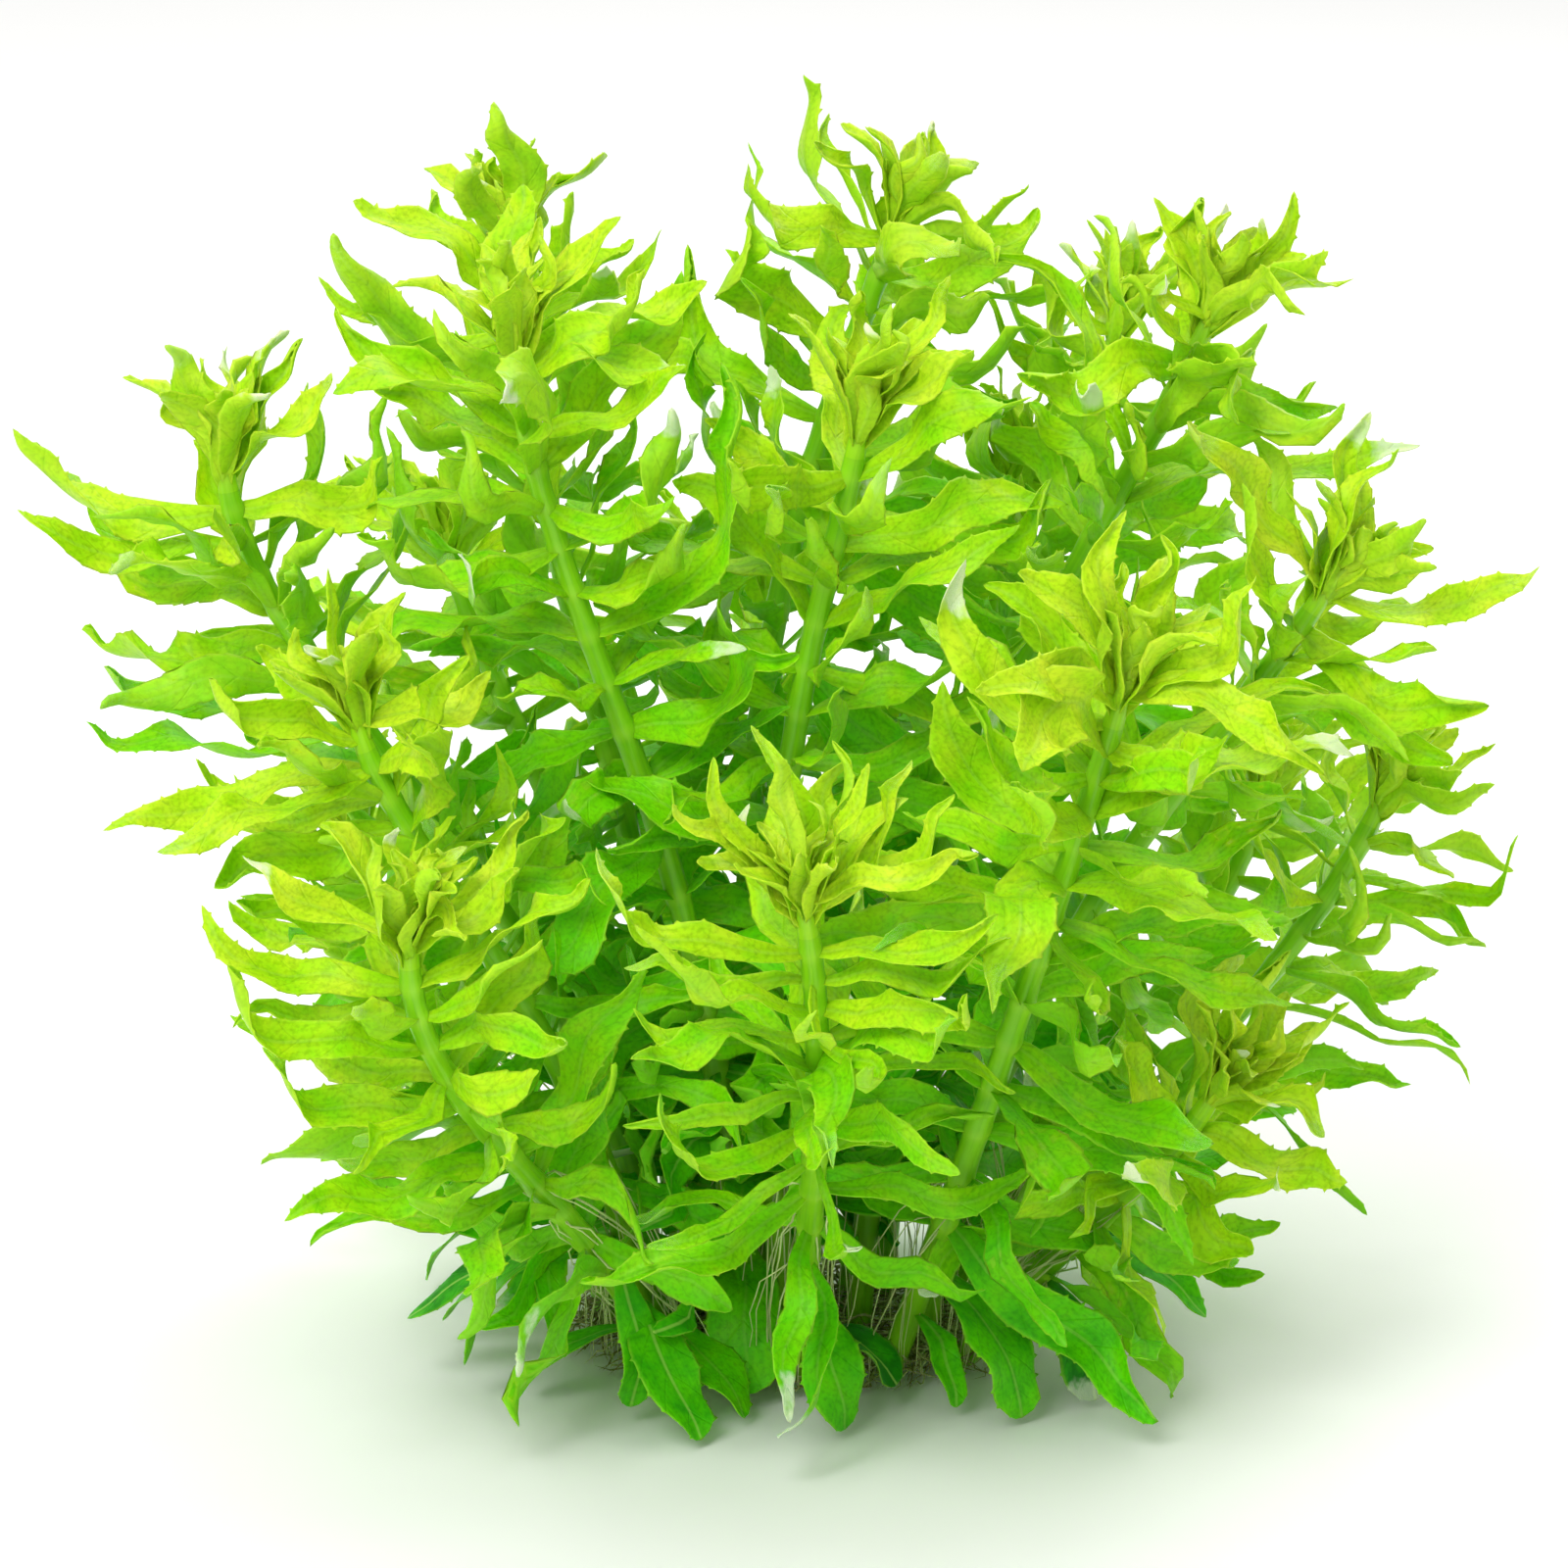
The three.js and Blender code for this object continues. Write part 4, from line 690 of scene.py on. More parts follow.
# %% Fillers
LOWEST_FILLER = 32  # height of its node
FILLERS = 4  # in a whorl
SHADE_HEIGHT = 60  # below which leaves are in the shade and hang
OUTWARD_CLIMB = 14  # degrees by which the leaf that faces outwards stands steeper
OUTWARD_STRAY = (-0.2, 0.2)  # of the gap between two leaves
AGEING = 1.3  # leaves age this much faster than their place on the stem goes down
FILLER_KIND = (0.68, 1.04), (0.55, 0.85), 0.25
FILLER_CLIMB, LOST_WITH_AGE, LOST_IN_SHADE = (8, 42), 26, 40  # degrees
SHADE_SHORTENS, SHADE_WIDENS = 0.2, 0.35


def filler_depths(index):
    """The lengths below a stem's top of its smaller whorls: between the others, and on the bare foot."""
    depths = whorl_depths(index)
    between_whorls = [(a + b) / 2 for a, b in zip(depths, depths[1:])]
    down = depths[-1] + LONGEST_INTERNODE / 2
    while on_curve(stems[index], below(index, down))[2] > LOWEST_FILLER:
        between_whorls.append(down)
        down += LONGEST_INTERNODE / 2
    return between_whorls


def grow_fillers(index):
    """The leaves of the smaller whorls, each with the length below the top of its node."""
    leaves = []
    for w, down in enumerate(filler_depths(index)):
        spot = node_at(index, below(index, down))
        age = min(down / stem_runs[index][-1] * AGEING, 1)
        shade = max(0, 1 - spot["at"][2] / SHADE_HEIGHT)
        first = FOOT_SEEDS * 2 + seed_of(index, w, 0)
        out = (spot["at"] - LEAN_AXIS) * [1, 1, 0]
        outward = math.atan2(out @ spot["north"], out @ spot["east"])
        for i in range(FILLERS):
            seed = first + i * LEAF_SEEDS
            turn = outward + (i + between(first, *OUTWARD_STRAY)) * 2 * math.pi / FILLERS
            climb = between(seed, *FILLER_CLIMB) - LOST_WITH_AGE * age - LOST_IN_SHADE * shade
            leaves.append((down, sized_leaf(
                FILLER_KIND, spot, seed, turn, climb + (OUTWARD_CLIMB if i == 0 else 0),
                1 - SHADE_SHORTENS * shade, 1 + SHADE_WIDENS * shade, age)))
    return leaves


fillers = [grow_fillers(i) for i in range(len(SHOOTS))]
print(sum(map(len, fillers)), "leaves more")

# %% [markdown]
# ## Modelling with one wrapped sheet
# A leaf, a stem and a root all have the same build: rings of points from foot to tip, closed at both ends.
# We start each one as a flat grid, with one row of points for each ring. Moving the points to their places
# rolls the grid into a tube, and merging the points that then lie on one spot welds the seam and closes
# the ends. So every piece is a closed skin with an inside, as a real leaf is.

# %% Wrap a grid into a closed skin
BLADE, PATCH, AGE = "blade", "patch", "age"  # what each point carries for the materials
WELD = 1e-7  # metres
LEAST_HEIGHT, THREAD_HEIGHT = 0.2, 0.1  # over the ground
triangles = {}


def new_skin():
    bm = bmesh.new()
    bm.verts.layers.float_vector.new(BLADE)
    bm.verts.layers.float_vector.new(PATCH)
    bm.verts.layers.float.new(AGE)
    return bm


def wrap(bm, rings, blade, patch, age, material):
    """Adds a skin to bm. rings is an array (rings, points round, 3) in mm, whose last column repeats its
    first. blade and patch are arrays of the same shape, for the materials."""
    rows, columns = rings.shape[:2]
    blade_layer, patch_layer = (bm.verts.layers.float_vector[name] for name in (BLADE, PATCH))
    age_layer = bm.verts.layers.float[AGE]
    first = len(bm.faces)
    grid = bmesh.ops.create_grid(bm, x_segments=columns - 1, y_segments=rows - 1, size=1)["verts"]
    flat = [values.reshape(-1, 3).tolist() for values in (rings * MM, blade, patch)]
    for vert, place, at_blade, at_patch in zip(grid, *flat):  # the grid's points come row by row
        vert.co = place
        vert[blade_layer] = at_blade
        vert[patch_layer] = at_patch
        vert[age_layer] = age
    bm.faces.ensure_lookup_table()
    for face in bm.faces[first:]:
        face.material_index = material
        face.smooth = True
    bmesh.ops.remove_doubles(bm, verts=grid, dist=WELD)


def channels(*parts):
    """Three numbers for each point, which the materials read together."""
    return np.stack(np.broadcast_arrays(*parts), axis=-1)


def tube(centre, east, north, radius, turn, lowest):
    """Rings round a midline, closed to a point at both ends and kept off the ground."""
    way = east[:, None] * np.cos(turn)[:, None] + north[:, None] * np.sin(turn)[:, None]
    rings = centre[:, None] + radius[..., None] * way
    rings[..., 2] = np.maximum(rings[..., 2], lowest)
    rings[0], rings[-1] = centre[0], centre[-1]
    return rings


def as_piece(bm, name, materials, replaced):
    """Ends a bmesh as a piece of the plant, in place of the solid called replaced."""
    bmesh.ops.recalc_face_normals(bm, faces=bm.faces)
    mesh = bpy.data.meshes.new(name)
    bm.to_mesh(mesh)
    bm.free()
    for material in materials:
        mesh.materials.append(material)
    piece = bpy.data.objects.new(name, mesh)
    scene.collection.objects.link(piece)
    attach(piece, "root")
    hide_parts(replaced)
    triangles[name] = sum(len(polygon.vertices) - 2 for polygon in mesh.polygons)


print("each point carries", BLADE, PATCH, "and", AGE)

# %% [markdown]
# ## A leaf blade
# A real blade is a soft sheet a third of a millimetre thick with a stiffer midrib. It is never flat: its
# halves cup upwards, its margins are longer than its middle and so ripple, its tip curls or rolls up, and
# the outer two thirds of its margin carry small teeth that point forwards.
# Each of these is one term of a sum here. The cross-section is an arc of a circle, because an arc keeps
# its width however far it is rolled up.

# %% The rings of a leaf
TOOTH_SPACING = 3.7
TOOTHED_FROM, TOOTHED_TO = 0.3, 0.95
FOOT_RINGS = (0, 0.03, 0.07, 0.13, 0.2)
TIP_RINGS = (TOOTHED_TO, 0.98, 1)
# A fineness is the places across half a blade, and the rings of a tooth: (share of its length, of depth).
FINE = ((0, 0.2, 0.6, 0.92, 1), ((0, 0), (0.4, 0), (0.74, 0.1), (0.9, 1)))
PLAIN = ((0.3, 0.85, 1), ((0, 0), (0.85, 0.6)))


def leaf_columns(half_places):
    """Places round a blade, from one margin over the top and back underneath, and which lie below."""
    right = np.array(half_places)
    top = np.unique(np.concatenate([-right, right]))
    return (np.concatenate([top, top[-2:0:-1], top[:1]]),
            np.concatenate([np.zeros(len(top)), np.ones(len(top) - 2), [0]]))


def leaf_rings(length, tooth_rings):
    """The shares of a leaf's length at which its rings lie, how deep each is in a tooth, and a tooth's
    share of the length."""
    teeth = max(3, round(length * (TOOTHED_TO - TOOTHED_FROM) / TOOTH_SPACING))
    step = (TOOTHED_TO - TOOTHED_FROM) / teeth
    rows = [(s, 0) for s in FOOT_RINGS]
    for tooth in range(teeth):
        rows += [(TOOTHED_FROM + step * (tooth + share), depth) for share, depth in tooth_rings]
    rows += [(s, 0) for s in TIP_RINGS]
    shares, depths = np.array(rows).T
    return shares[:, None], depths[:, None], step


def smooth_step(x, low, high):
    t = np.clip((x - low) / (high - low), 0, 1)
    return t * t * (3 - 2 * t)


for name, (half_places, tooth_rings) in {"fine": FINE, "plain": PLAIN}.items():
    print("a", name, "leaf has", len(leaf_rings(LEAF_LENGTH, tooth_rings)[0]), "rings of",
          len(leaf_columns(half_places)[0]) - 1)

# %% Sizes of a fine leaf
# Shares are of the leaf's length where nothing else is said.
BLADE_THICKNESS, THINNED_TIP = 0.32, 14  # the thickness fades over 1 / THINNED_TIP of the length
MIDRIB_THICKNESS = 0.6  # more than the blade's
MIDRIB_WIDTH, MIDRIB_TAPER = 1.1, 0.8  # mm, and the share of its thickness that it loses by the tip
FREE_FROM, FREE_TO = 0.05, 0.4  # where the blade's own shape sets in
TOOTH_DEPTH, TOOTH_DEPTHS = 0.75, (0.3, 1.4)  # mm, and shares of it
TOOTH_POWER = 12  # keeps a tooth close to the margin
TOOTH_SHIFT, SHIFT_FADE = 0.35, 0.125  # of a tooth, by which one margin runs ahead, fading at the ends
WAVE_LENGTHS = (0.8, 1.25)  # shares of what is asked for
RIPPLE_LENGTH = 15
SNAKE_HEIGHT, SNAKE_FADE = 2.2, 0.3  # of the midrib's sideways waves, which fade towards the tip
SWELL_HEIGHT, SWELL_LENGTH = 1.7, 34  # of the midrib's waves up and down
STILL_TIP = 0.15  # where these waves and the ripples fade
WOBBLE = 0.6  # of the blade about its midrib, in radians
UNEVEN, UNEVEN_LENGTH = 0.09, 25  # share by which each half's width comes and goes, and over how many mm
BROADER_FOOT, BROADER_TO = 0.4, 0.5  # share by which the foot is broader than the solids', and up to where
POINTED = 0.42  # share of the width that goes from the outer part of a pointed blade
CUP_CHANGE, CUP_CHANGE_LENGTH = 0.2, 40  # radians and mm
ROLLED_FROM, ROLLED_TO = 0.55, 0.92
CURLED_FROM, CURL_POWER = 0.5, 1.5
LEAST_CUP, LEAST_HALF = 0.02, 0.01  # an arc needs some angle, and some width
FOOT_BITE, BITE_TO = 0.4, 0.1  # depth of the foot's edge in the stem, and up to where it fades
TUCKED, TUCKED_TO = 0.6, 0.05  # share by which the foot is drawn into the stem, and up to where
LEAF_MATERIAL, STEM_MATERIAL = 0, 1
PATCH_NUMBERS = 997  # so that each leaf has its own patches
print("a blade is", BLADE_THICKNESS, "mm thick, with teeth of", TOOTH_DEPTH, "mm")

# %% Fine leaf


def add_leaf(bm, leaf, age, slender, blunt, cup, rolled, ripple, curl, wavy, fineness):
    """Adds a leaf to bm. slender is the share of its width that it keeps, blunt is 0 for a pointed tip and
    1 for a round one, cup is half the angle of its arc, rolled what its tip adds to that, ripple the height
    of its margin's waves in mm, curl how far its tip bends up in mm and wavy the share of the waves of its
    midrib."""
    rng = np.random.default_rng(leaf["seed"])
    columns, underside = leaf_columns(fineness[0])
    off_middle = np.abs(columns)
    ring, tooth, step = leaf_rings(leaf["length"], fineness[1])
    s = ring + TOOTH_SHIFT * step * np.clip(np.minimum(ring, 1 - ring) / SHIFT_FADE, 0, 1) * columns
    centre, way, face, side, half = blade_at(leaf, s)
    along = s * leaf["length"]
    free = smooth_step(s, FREE_FROM, FREE_TO)

    def waves(length):
        """A wave along the blade, of about that length in mm, that starts anywhere."""
        return np.sin(2 * math.pi * (along / (length * rng.uniform(*WAVE_LENGTHS)) + rng.uniform(0, 1)))

    def halves(length):
        """Such waves that differ between the blade's halves."""
        return np.where(columns > 0, waves(length), waves(length))

    lean = (free * wavy * WOBBLE * waves(leaf["length"]))[..., None]
    face, side = face * np.cos(lean) + side * np.sin(lean), side * np.cos(lean) - face * np.sin(lean)
    snake = free * smooth_step(1 - s, 0, SNAKE_FADE) * wavy * SNAKE_HEIGHT * waves(leaf["length"])
    past_widest = np.clip((s - WIDEST_AT) / (1 - WIDEST_AT), 0, 1)
    pointed_half = half * (1 - POINTED * smooth_step(s, WIDEST_AT, TOOTHED_TO))
    round_half = np.where(s < WIDEST_AT, half, leaf["width"] / 2 * np.sqrt(1 - past_widest ** 2))
    half = slender * (pointed_half + blunt * (round_half - pointed_half))
    broader = BROADER_FOOT * smooth_step(BROADER_TO - s, 0, BROADER_TO)
    half = half * (1 + UNEVEN * halves(UNEVEN_LENGTH) * off_middle + broader)

    deepest = TOOTH_DEPTH * min(leaf["width"] / LEAF_WIDTH, 1)
    depth = deepest * tooth * rng.uniform(*TOOTH_DEPTHS, ring.shape)
    arc = columns * half + np.sign(columns) * off_middle ** TOOTH_POWER * depth
    rolling = rolled * smooth_step(s, ROLLED_FROM, ROLLED_TO)
    bend = cup * free + rolling + CUP_CHANGE * waves(CUP_CHANGE_LENGTH)
    bend = np.where(np.abs(bend) < LEAST_CUP, LEAST_CUP, bend)
    turn = arc / np.maximum(half, LEAST_HALF) * bend
    across = np.sin(turn) * half / bend + snake
    normal = face * np.cos(turn)[..., None] - side * np.sin(turn)[..., None]
    ripples = ripple * halves(RIPPLE_LENGTH) * off_middle ** 2
    swell = wavy * SWELL_HEIGHT * waves(SWELL_LENGTH)
    rise = (1 - np.cos(turn)) * half / bend + free * smooth_step(1 - s, 0, STILL_TIP) * (ripples + swell)
    rise = rise + curl * smooth_step(s, CURLED_FROM, 1) ** CURL_POWER

    midrib = np.exp(-(columns * half * 2 / MIDRIB_WIDTH) ** 2) * (1 - MIDRIB_TAPER * s)
    depths = underside * (BLADE_THICKNESS + MIDRIB_THICKNESS * midrib)
    depths = np.where(off_middle == 1, BLADE_THICKNESS / 2, depths)
    depths = depths * np.clip((1 - s) * THINNED_TIP, 0, 1) ** 0.5
    points = centre + side * across[..., None] + face * rise[..., None] - normal * depths[..., None]
    bite = smooth_step(BITE_TO - s, 0, BITE_TO) * (across ** 2 / (2 * STEM_RADIUS_FOOT) + FOOT_BITE)
    points -= way * bite[..., None]
    tucked = TUCKED * np.clip(1 - ring / TUCKED_TO, 0, 1)
    points += (leaf["root"] - points) * tucked[..., None]
    points[..., 2] = np.maximum(points[..., 2], LEAST_HEIGHT + BLADE_THICKNESS * (1 - underside))
    points[-1] = points[-1].mean(axis=0)
    foot = np.broadcast_to(leaf["root"], (1, len(columns), 3))

    blade = channels(s, columns, np.where(off_middle == 1, 0.5, underside))
    patch = channels(along, arc, float(leaf["seed"] % PATCH_NUMBERS))
    rings, blade, patch = (np.concatenate(pair) for pair in (
        (foot, points), (blade[:1], blade), (patch[:1], patch)))
    wrap(bm, rings, blade, patch, age, LEAF_MATERIAL)


# %% Each leaf's own looks
FINGERS = 0.4  # share of the leaves, whose tips are rolled up to a blunt finger
FINGER_ROLL, OTHER_ROLL = (1.2, 2.2), (-0.3, 0.5)  # radians
RIPPLE_HEIGHT = (0.6, 2)
CUP_SHARE = (0.2, 1.5)
BLUNTNESS = 0.4  # at most, and as much again for a finger
BACK_CURL = -2
FLAT_SHADE_HEIGHT = SHADE_HEIGHT / 2  # below it, leaves are as blunt and flat as they get
LESS_ROLLED, LESS_RIPPLED = 0.7, 0.4  # shares that go there


def dress_leaf(bm, leaf, age, slender, cup, most_curl, fineness=FINE, wavy=1):
    """Adds a leaf with its own share of cup, roll, ripple and curl."""
    seed = leaf["seed"]
    with_finger = chance(seed + 10) < FINGERS
    rolled = between(seed + 9, *(FINGER_ROLL if with_finger else OTHER_ROLL))
    ripple = between(seed + 12, *RIPPLE_HEIGHT) * leaf["width"] / LEAF_WIDTH
    shade = min(max(SHADE_HEIGHT - leaf["root"][2], 0) / FLAT_SHADE_HEIGHT, 1)
    blunt = part_way((BLUNTNESS * (chance(seed + 15) + with_finger), 1), shade)
    add_leaf(bm, leaf, age, slender, blunt, cup * between(seed + 11, *CUP_SHARE),
             rolled * wavy * (1 - LESS_ROLLED * shade), ripple * (1 - LESS_RIPPLED * shade),
             between(seed + 13, BACK_CURL, most_curl), wavy, fineness)


print(FINGERS, "of the leaves have a rolled tip")

# %% [markdown]
# ## A stem with its nodes
# The stem is a round juicy stalk with faint ridges. It swells to a ring at each whorl, where the leaves
# clasp it, and the bare part near the ground has the same rings, where older leaves dropped off.
# It is a wrapped sheet too, with more rings where it swells.

# %% Fine stem
STEM_POINTS = 14
STEM_RING_SPACING = 2.6
NODE_SWELLING, NODE_WIDTH = 0.12, 1.8  # of the radius, and mm
NODE_RINGS = np.array([-1.8, 0, 1.8])
NEAREST_RING = 0.5  # to the end of a stretch
RIDGES, RIDGE_HEIGHT = 5, 0.035  # how many round the stem, and a share of the radius
TIP_TAPER, TAPERED_FROM = 0.4, -2  # share of the radius left that far below the top
LAP, LAP_SHRINKAGE = 1.2, 0.03  # mm that a stretch runs on inside the next one, a little thinner there


def stem_nodes(index):
    """Lengths below the top of a stem of all its nodes."""
    return np.array(sorted(whorl_depths(index) + filler_depths(index)))


def add_stem(bm, index, top, bottom, age):
    """Adds the stretch of a stem between two lengths below its top."""
    nodes = stem_nodes(index)
    near = (nodes[:, None] + NODE_RINGS).ravel()
    near = near[(near > top + NEAREST_RING) & (near < bottom - NEAREST_RING)]
    even = np.linspace(top, bottom, round((bottom - top) / STEM_RING_SPACING) + 2)
    down = np.unique(np.concatenate([even, near, [top - LAP, bottom + LAP]]))[::-1, None]
    down = np.concatenate([down[:1], down, down[-1:]])
    s = np.array([below(index, length) for length in down[:, 0]])
    _, east, north = axes_at(stems[index], s)
    turn = np.linspace(0, 2 * math.pi, STEM_POINTS + 1)
    swelling = np.exp(-((down - nodes) / NODE_WIDTH) ** 2).sum(axis=1, keepdims=True)
    radius = stem_radius(s)[:, None] * (1 + NODE_SWELLING * swelling)
    radius = radius * (TIP_TAPER + (1 - TIP_TAPER) * smooth_step(down, TAPERED_FROM, CROWN_STUB))
    radius = radius * (1 + RIDGE_HEIGHT * np.cos(RIDGES * turn))
    radius = radius * np.where((down < top) | (down > bottom), 1 - LAP_SHRINKAGE, 1)
    rings = tube(on_curve(stems[index], s), east, north, radius, turn, LEAST_HEIGHT)
    blade, patch = channels(swelling, turn, 0.0), channels(down, turn * STEM_RADIUS_TOP, float(index))
    wrap(bm, rings, blade, patch, age, STEM_MATERIAL)


print("nodes of the first stem, mm below its top:", stem_nodes(0).round())

# %% [markdown]
# ## What a leaf looks like
# Leaf tissue is wax over water and chlorophyll: half-gloss, and light that enters it comes out coloured, so
# a thin blade glows when lit from behind. One principled shader with some subsurface does both.
# The colour follows age. Young tissue is yellow-green, then lime, and the leaves in the shade at the foot
# are a deep green with a pale midrib: the old ones for their age, those on the stems partly for age and
# partly as painted shade that grows towards the ground. Each leaf has cloudy patches, lengthwise streaks and
# a paler underside, and painted shade along its midrib, as if it lay in a groove, and in the crease at its
# foot, a painted highlight along its margin and, on a few leaves, a painted sheen at the tip. All are drawn
# by real distances along and across the blade, which each point has.

# %% Leaf tissue
AGE_COLOURS = (  # (age, colour)
    (0, "#D2EA2E"), (0.16, "#BAE616"), (0.42, "#88DC04"),
    (0.7, "#62D602"), (0.88, "#3CB40C"), (1, "#208612"),
)
PATCH_SIZE = 7  # mm
STREAK_LENGTH, STREAK_WIDTH = 18, 1.2  # mm
GRAIN_SIZE = 0.9  # mm, coarser than the real cells so that it shows
VEIN_SPACING, VEIN_SLOPE = 4.4, 1.3  # mm along the midrib, and mm along for each mm across
# A range carries a number over to another one: (from, to, result at from, result at to).
AGE_BY_PATCH = (0.3, 0.7, -0.12, 0.12)  # how much older or younger, by the noise

leaf_tissue, tree = empty_material("leaf_tissue")
blade = node(tree, "Attribute", attribute_name=BLADE).outputs["Vector"]
patch = node(tree, "Attribute", attribute_name=PATCH).outputs["Vector"]
age = node(tree, "Attribute", attribute_name=AGE).outputs["Fac"]
share, across, under = node(tree, "SeparateXYZ", [blade]).outputs
mm_along, mm_across, own_number = node(tree, "SeparateXYZ", [patch]).outputs

patches = node(tree, "TexNoise", {"Vector": patch, "Scale": 1 / PATCH_SIZE, "Detail": 3, "Roughness": 0.6})
stretched = node(tree, "VectorMath", [patch, (1 / STREAK_LENGTH, 1 / STREAK_WIDTH, 1)], operation="MULTIPLY")
streaks = node(tree, "TexNoise", {"Vector": stretched, "Scale": 1, "Detail": 2})
grain = node(tree, "TexNoise", {"Vector": patch, "Scale": 1 / GRAIN_SIZE, "Detail": 2})

patch_age = node(tree, "MapRange", [patches, *AGE_BY_PATCH])
aged = node(tree, "Math", [age, patch_age], operation="ADD")
ramp = node(tree, "ValToRGB", [aged])
stops = ramp.color_ramp.elements
for place, code in AGE_COLOURS[1:-1]:
    stops.new(place)
for stop, (place, code) in zip(stops, AGE_COLOURS):
    stop.position, stop.color = place, colour(code)
print("leaf colours by age:", AGE_COLOURS)

# %% Veins, underside, painted shade and painted highlights
# How strongly each mark shows is a number from 0 to 1, by one of these ranges.
# The first range below darkens a strip along the midrib: painted shade, as of a groove there.
PAINTED_GROOVE_SHADE, PALE_RIB = (0.2, 1.6, 0.16, 0), (0.15, 0.5, 1, 0)  # mm from the midrib
VEIN, VEIN_STRENGTH = (0, 0.55, 1, 0), 0.1  # mm from a vein
STREAK, GRAIN = (0.45, 0.75, 0, 0.32), (0.45, 0.7, 0, 0.34)  # by the noise
# The first range darkens a leaf's foot where it meets the stem: painted shade in that crease. The second
# whitens the tip of some leaves: a painted sheen.
PAINTED_CREASE_SHADE, PAINTED_TIP_SHEEN = (0.02, 0.16, 1, 0), (1.05, 1.15, 0, 0.75)  # share of the length
# The strip along the margin: a painted highlight, for light that shines through the thin edge.
PAINTED_RIM_LIGHT = (0.86, 1, 0, 0.22)  # share of half the width
CREASE_SHADE_BY_AGE, PALE_RIB_BY_AGE = (0.1, 0.4, 0.2, 0.25), (0.66, 0.85, 0.12, 0.55)
UNDERSIDE_STRENGTH = 0.3
# Some leaves have a whitish tip: a painted sheen.
PAINTED_SHEEN_ABOVE = 0.9  # by each leaf's own chance
RAGGED = 0.5  # share of the length by which patches move the edge of a tip's painted sheen
SOFT = {"interpolation_type": "SMOOTHSTEP"}

from_midrib = node(tree, "Math", [mm_across], operation="ABSOLUTE")
# painted shade along the midrib, as if it lay in a groove
painted_groove_shade = node(tree, "MapRange", [from_midrib, *PAINTED_GROOVE_SHADE], **SOFT)
vein_place = node(tree, "Math", [from_midrib, -VEIN_SLOPE, mm_along], operation="MULTIPLY_ADD")
from_vein = node(tree, "Math", [vein_place, VEIN_SPACING], operation="PINGPONG")
vein = node(tree, "MapRange", [from_vein, *VEIN], **SOFT)
faint_vein = node(tree, "Math", [vein, VEIN_STRENGTH], operation="MULTIPLY")
dark_streak = node(tree, "MapRange", [streaks, *STREAK], **SOFT)
dark_grain = node(tree, "MapRange", [grain, *GRAIN])
pale_under = node(tree, "Math", [under, UNDERSIDE_STRENGTH], operation="MULTIPLY")
# painted shade in the crease where the leaf's foot meets the stem
crease_at_foot = node(tree, "MapRange", [share, *PAINTED_CREASE_SHADE], **SOFT)
crease_shade_by_age = node(tree, "MapRange", [age, *CREASE_SHADE_BY_AGE])
painted_crease_shade = node(tree, "Math", [crease_at_foot, crease_shade_by_age], operation="MULTIPLY")
# a painted sheen at the tip of a few leaves
own_chance = node(tree, "TexWhiteNoise", {"W": own_number}, noise_dimensions="1D")
with_painted_sheen = node(tree, "Math", [own_chance, PAINTED_SHEEN_ABOVE], operation="GREATER_THAN")
tip_place = node(tree, "Math", [patches, RAGGED, share], operation="MULTIPLY_ADD")
at_tip = node(tree, "MapRange", [tip_place, *PAINTED_TIP_SHEEN], **SOFT)
painted_tip_sheen = node(tree, "Math", [with_painted_sheen, at_tip], operation="MULTIPLY")
on_rib = node(tree, "MapRange", [from_midrib, *PALE_RIB], **SOFT)
rib_by_age = node(tree, "MapRange", [age, *PALE_RIB_BY_AGE])
pale_rib = node(tree, "Math", [on_rib, rib_by_age], operation="MULTIPLY")
from_middle = node(tree, "Math", [across], operation="ABSOLUTE")
# painted highlight along the margin
margin = node(tree, "MapRange", [from_middle, *PAINTED_RIM_LIGHT])
print(len(tree.nodes), "nodes so far in", leaf_tissue.name)

# %% Marks over the leaf's colour


def marked_shade(tree, shade, marks):
    """A colour with marks laid over it one by one, each: (how strongly, how it is mixed in, colour)."""
    for strength, way, code in marks:
        mixed = node(tree, "Mix", {MIX_FACTOR: strength, MIX_A: shade, MIX_B: colour(code)},
                     data_type="RGBA", blend_type=way)
        shade = mixed.outputs[MIX_RESULT]
    return shade


marks = [
    (dark_streak, "MULTIPLY", "#A6CE5A"), (dark_grain, "MULTIPLY", "#7FA63C"),
    # the second here is painted shade along the midrib
    (faint_vein, "MULTIPLY", "#5E9A20"), (painted_groove_shade, "MULTIPLY", "#7FB828"),
    # the second here is painted shade in the crease at the leaf's foot
    (pale_under, "MIX", "#A6D83A"), (painted_crease_shade, "MIX", "#6E9E14"),
    # after the pale midrib: a painted highlight along the margin, and a painted sheen at the tip of some
    # leaves
    (pale_rib, "MIX", "#BEE66E"), (margin, "MIX", "#CCEE4C"), (painted_tip_sheen, "MIX", "#EEF4DE"),
]
shade = marked_shade(tree, ramp.outputs["Color"], marks)
print(len(marks), "marks on the blade")

# %% Gloss and relief of the leaf
RELIEF = 0.25  # mm
VEIN_RELIEF, GRAIN_RELIEF = -0.5, 0.35  # shares of the streaks' relief
GLOSS_BY_PATCH = (0.3, 0.7, 0.36, 0.52)  # roughness, by the noise

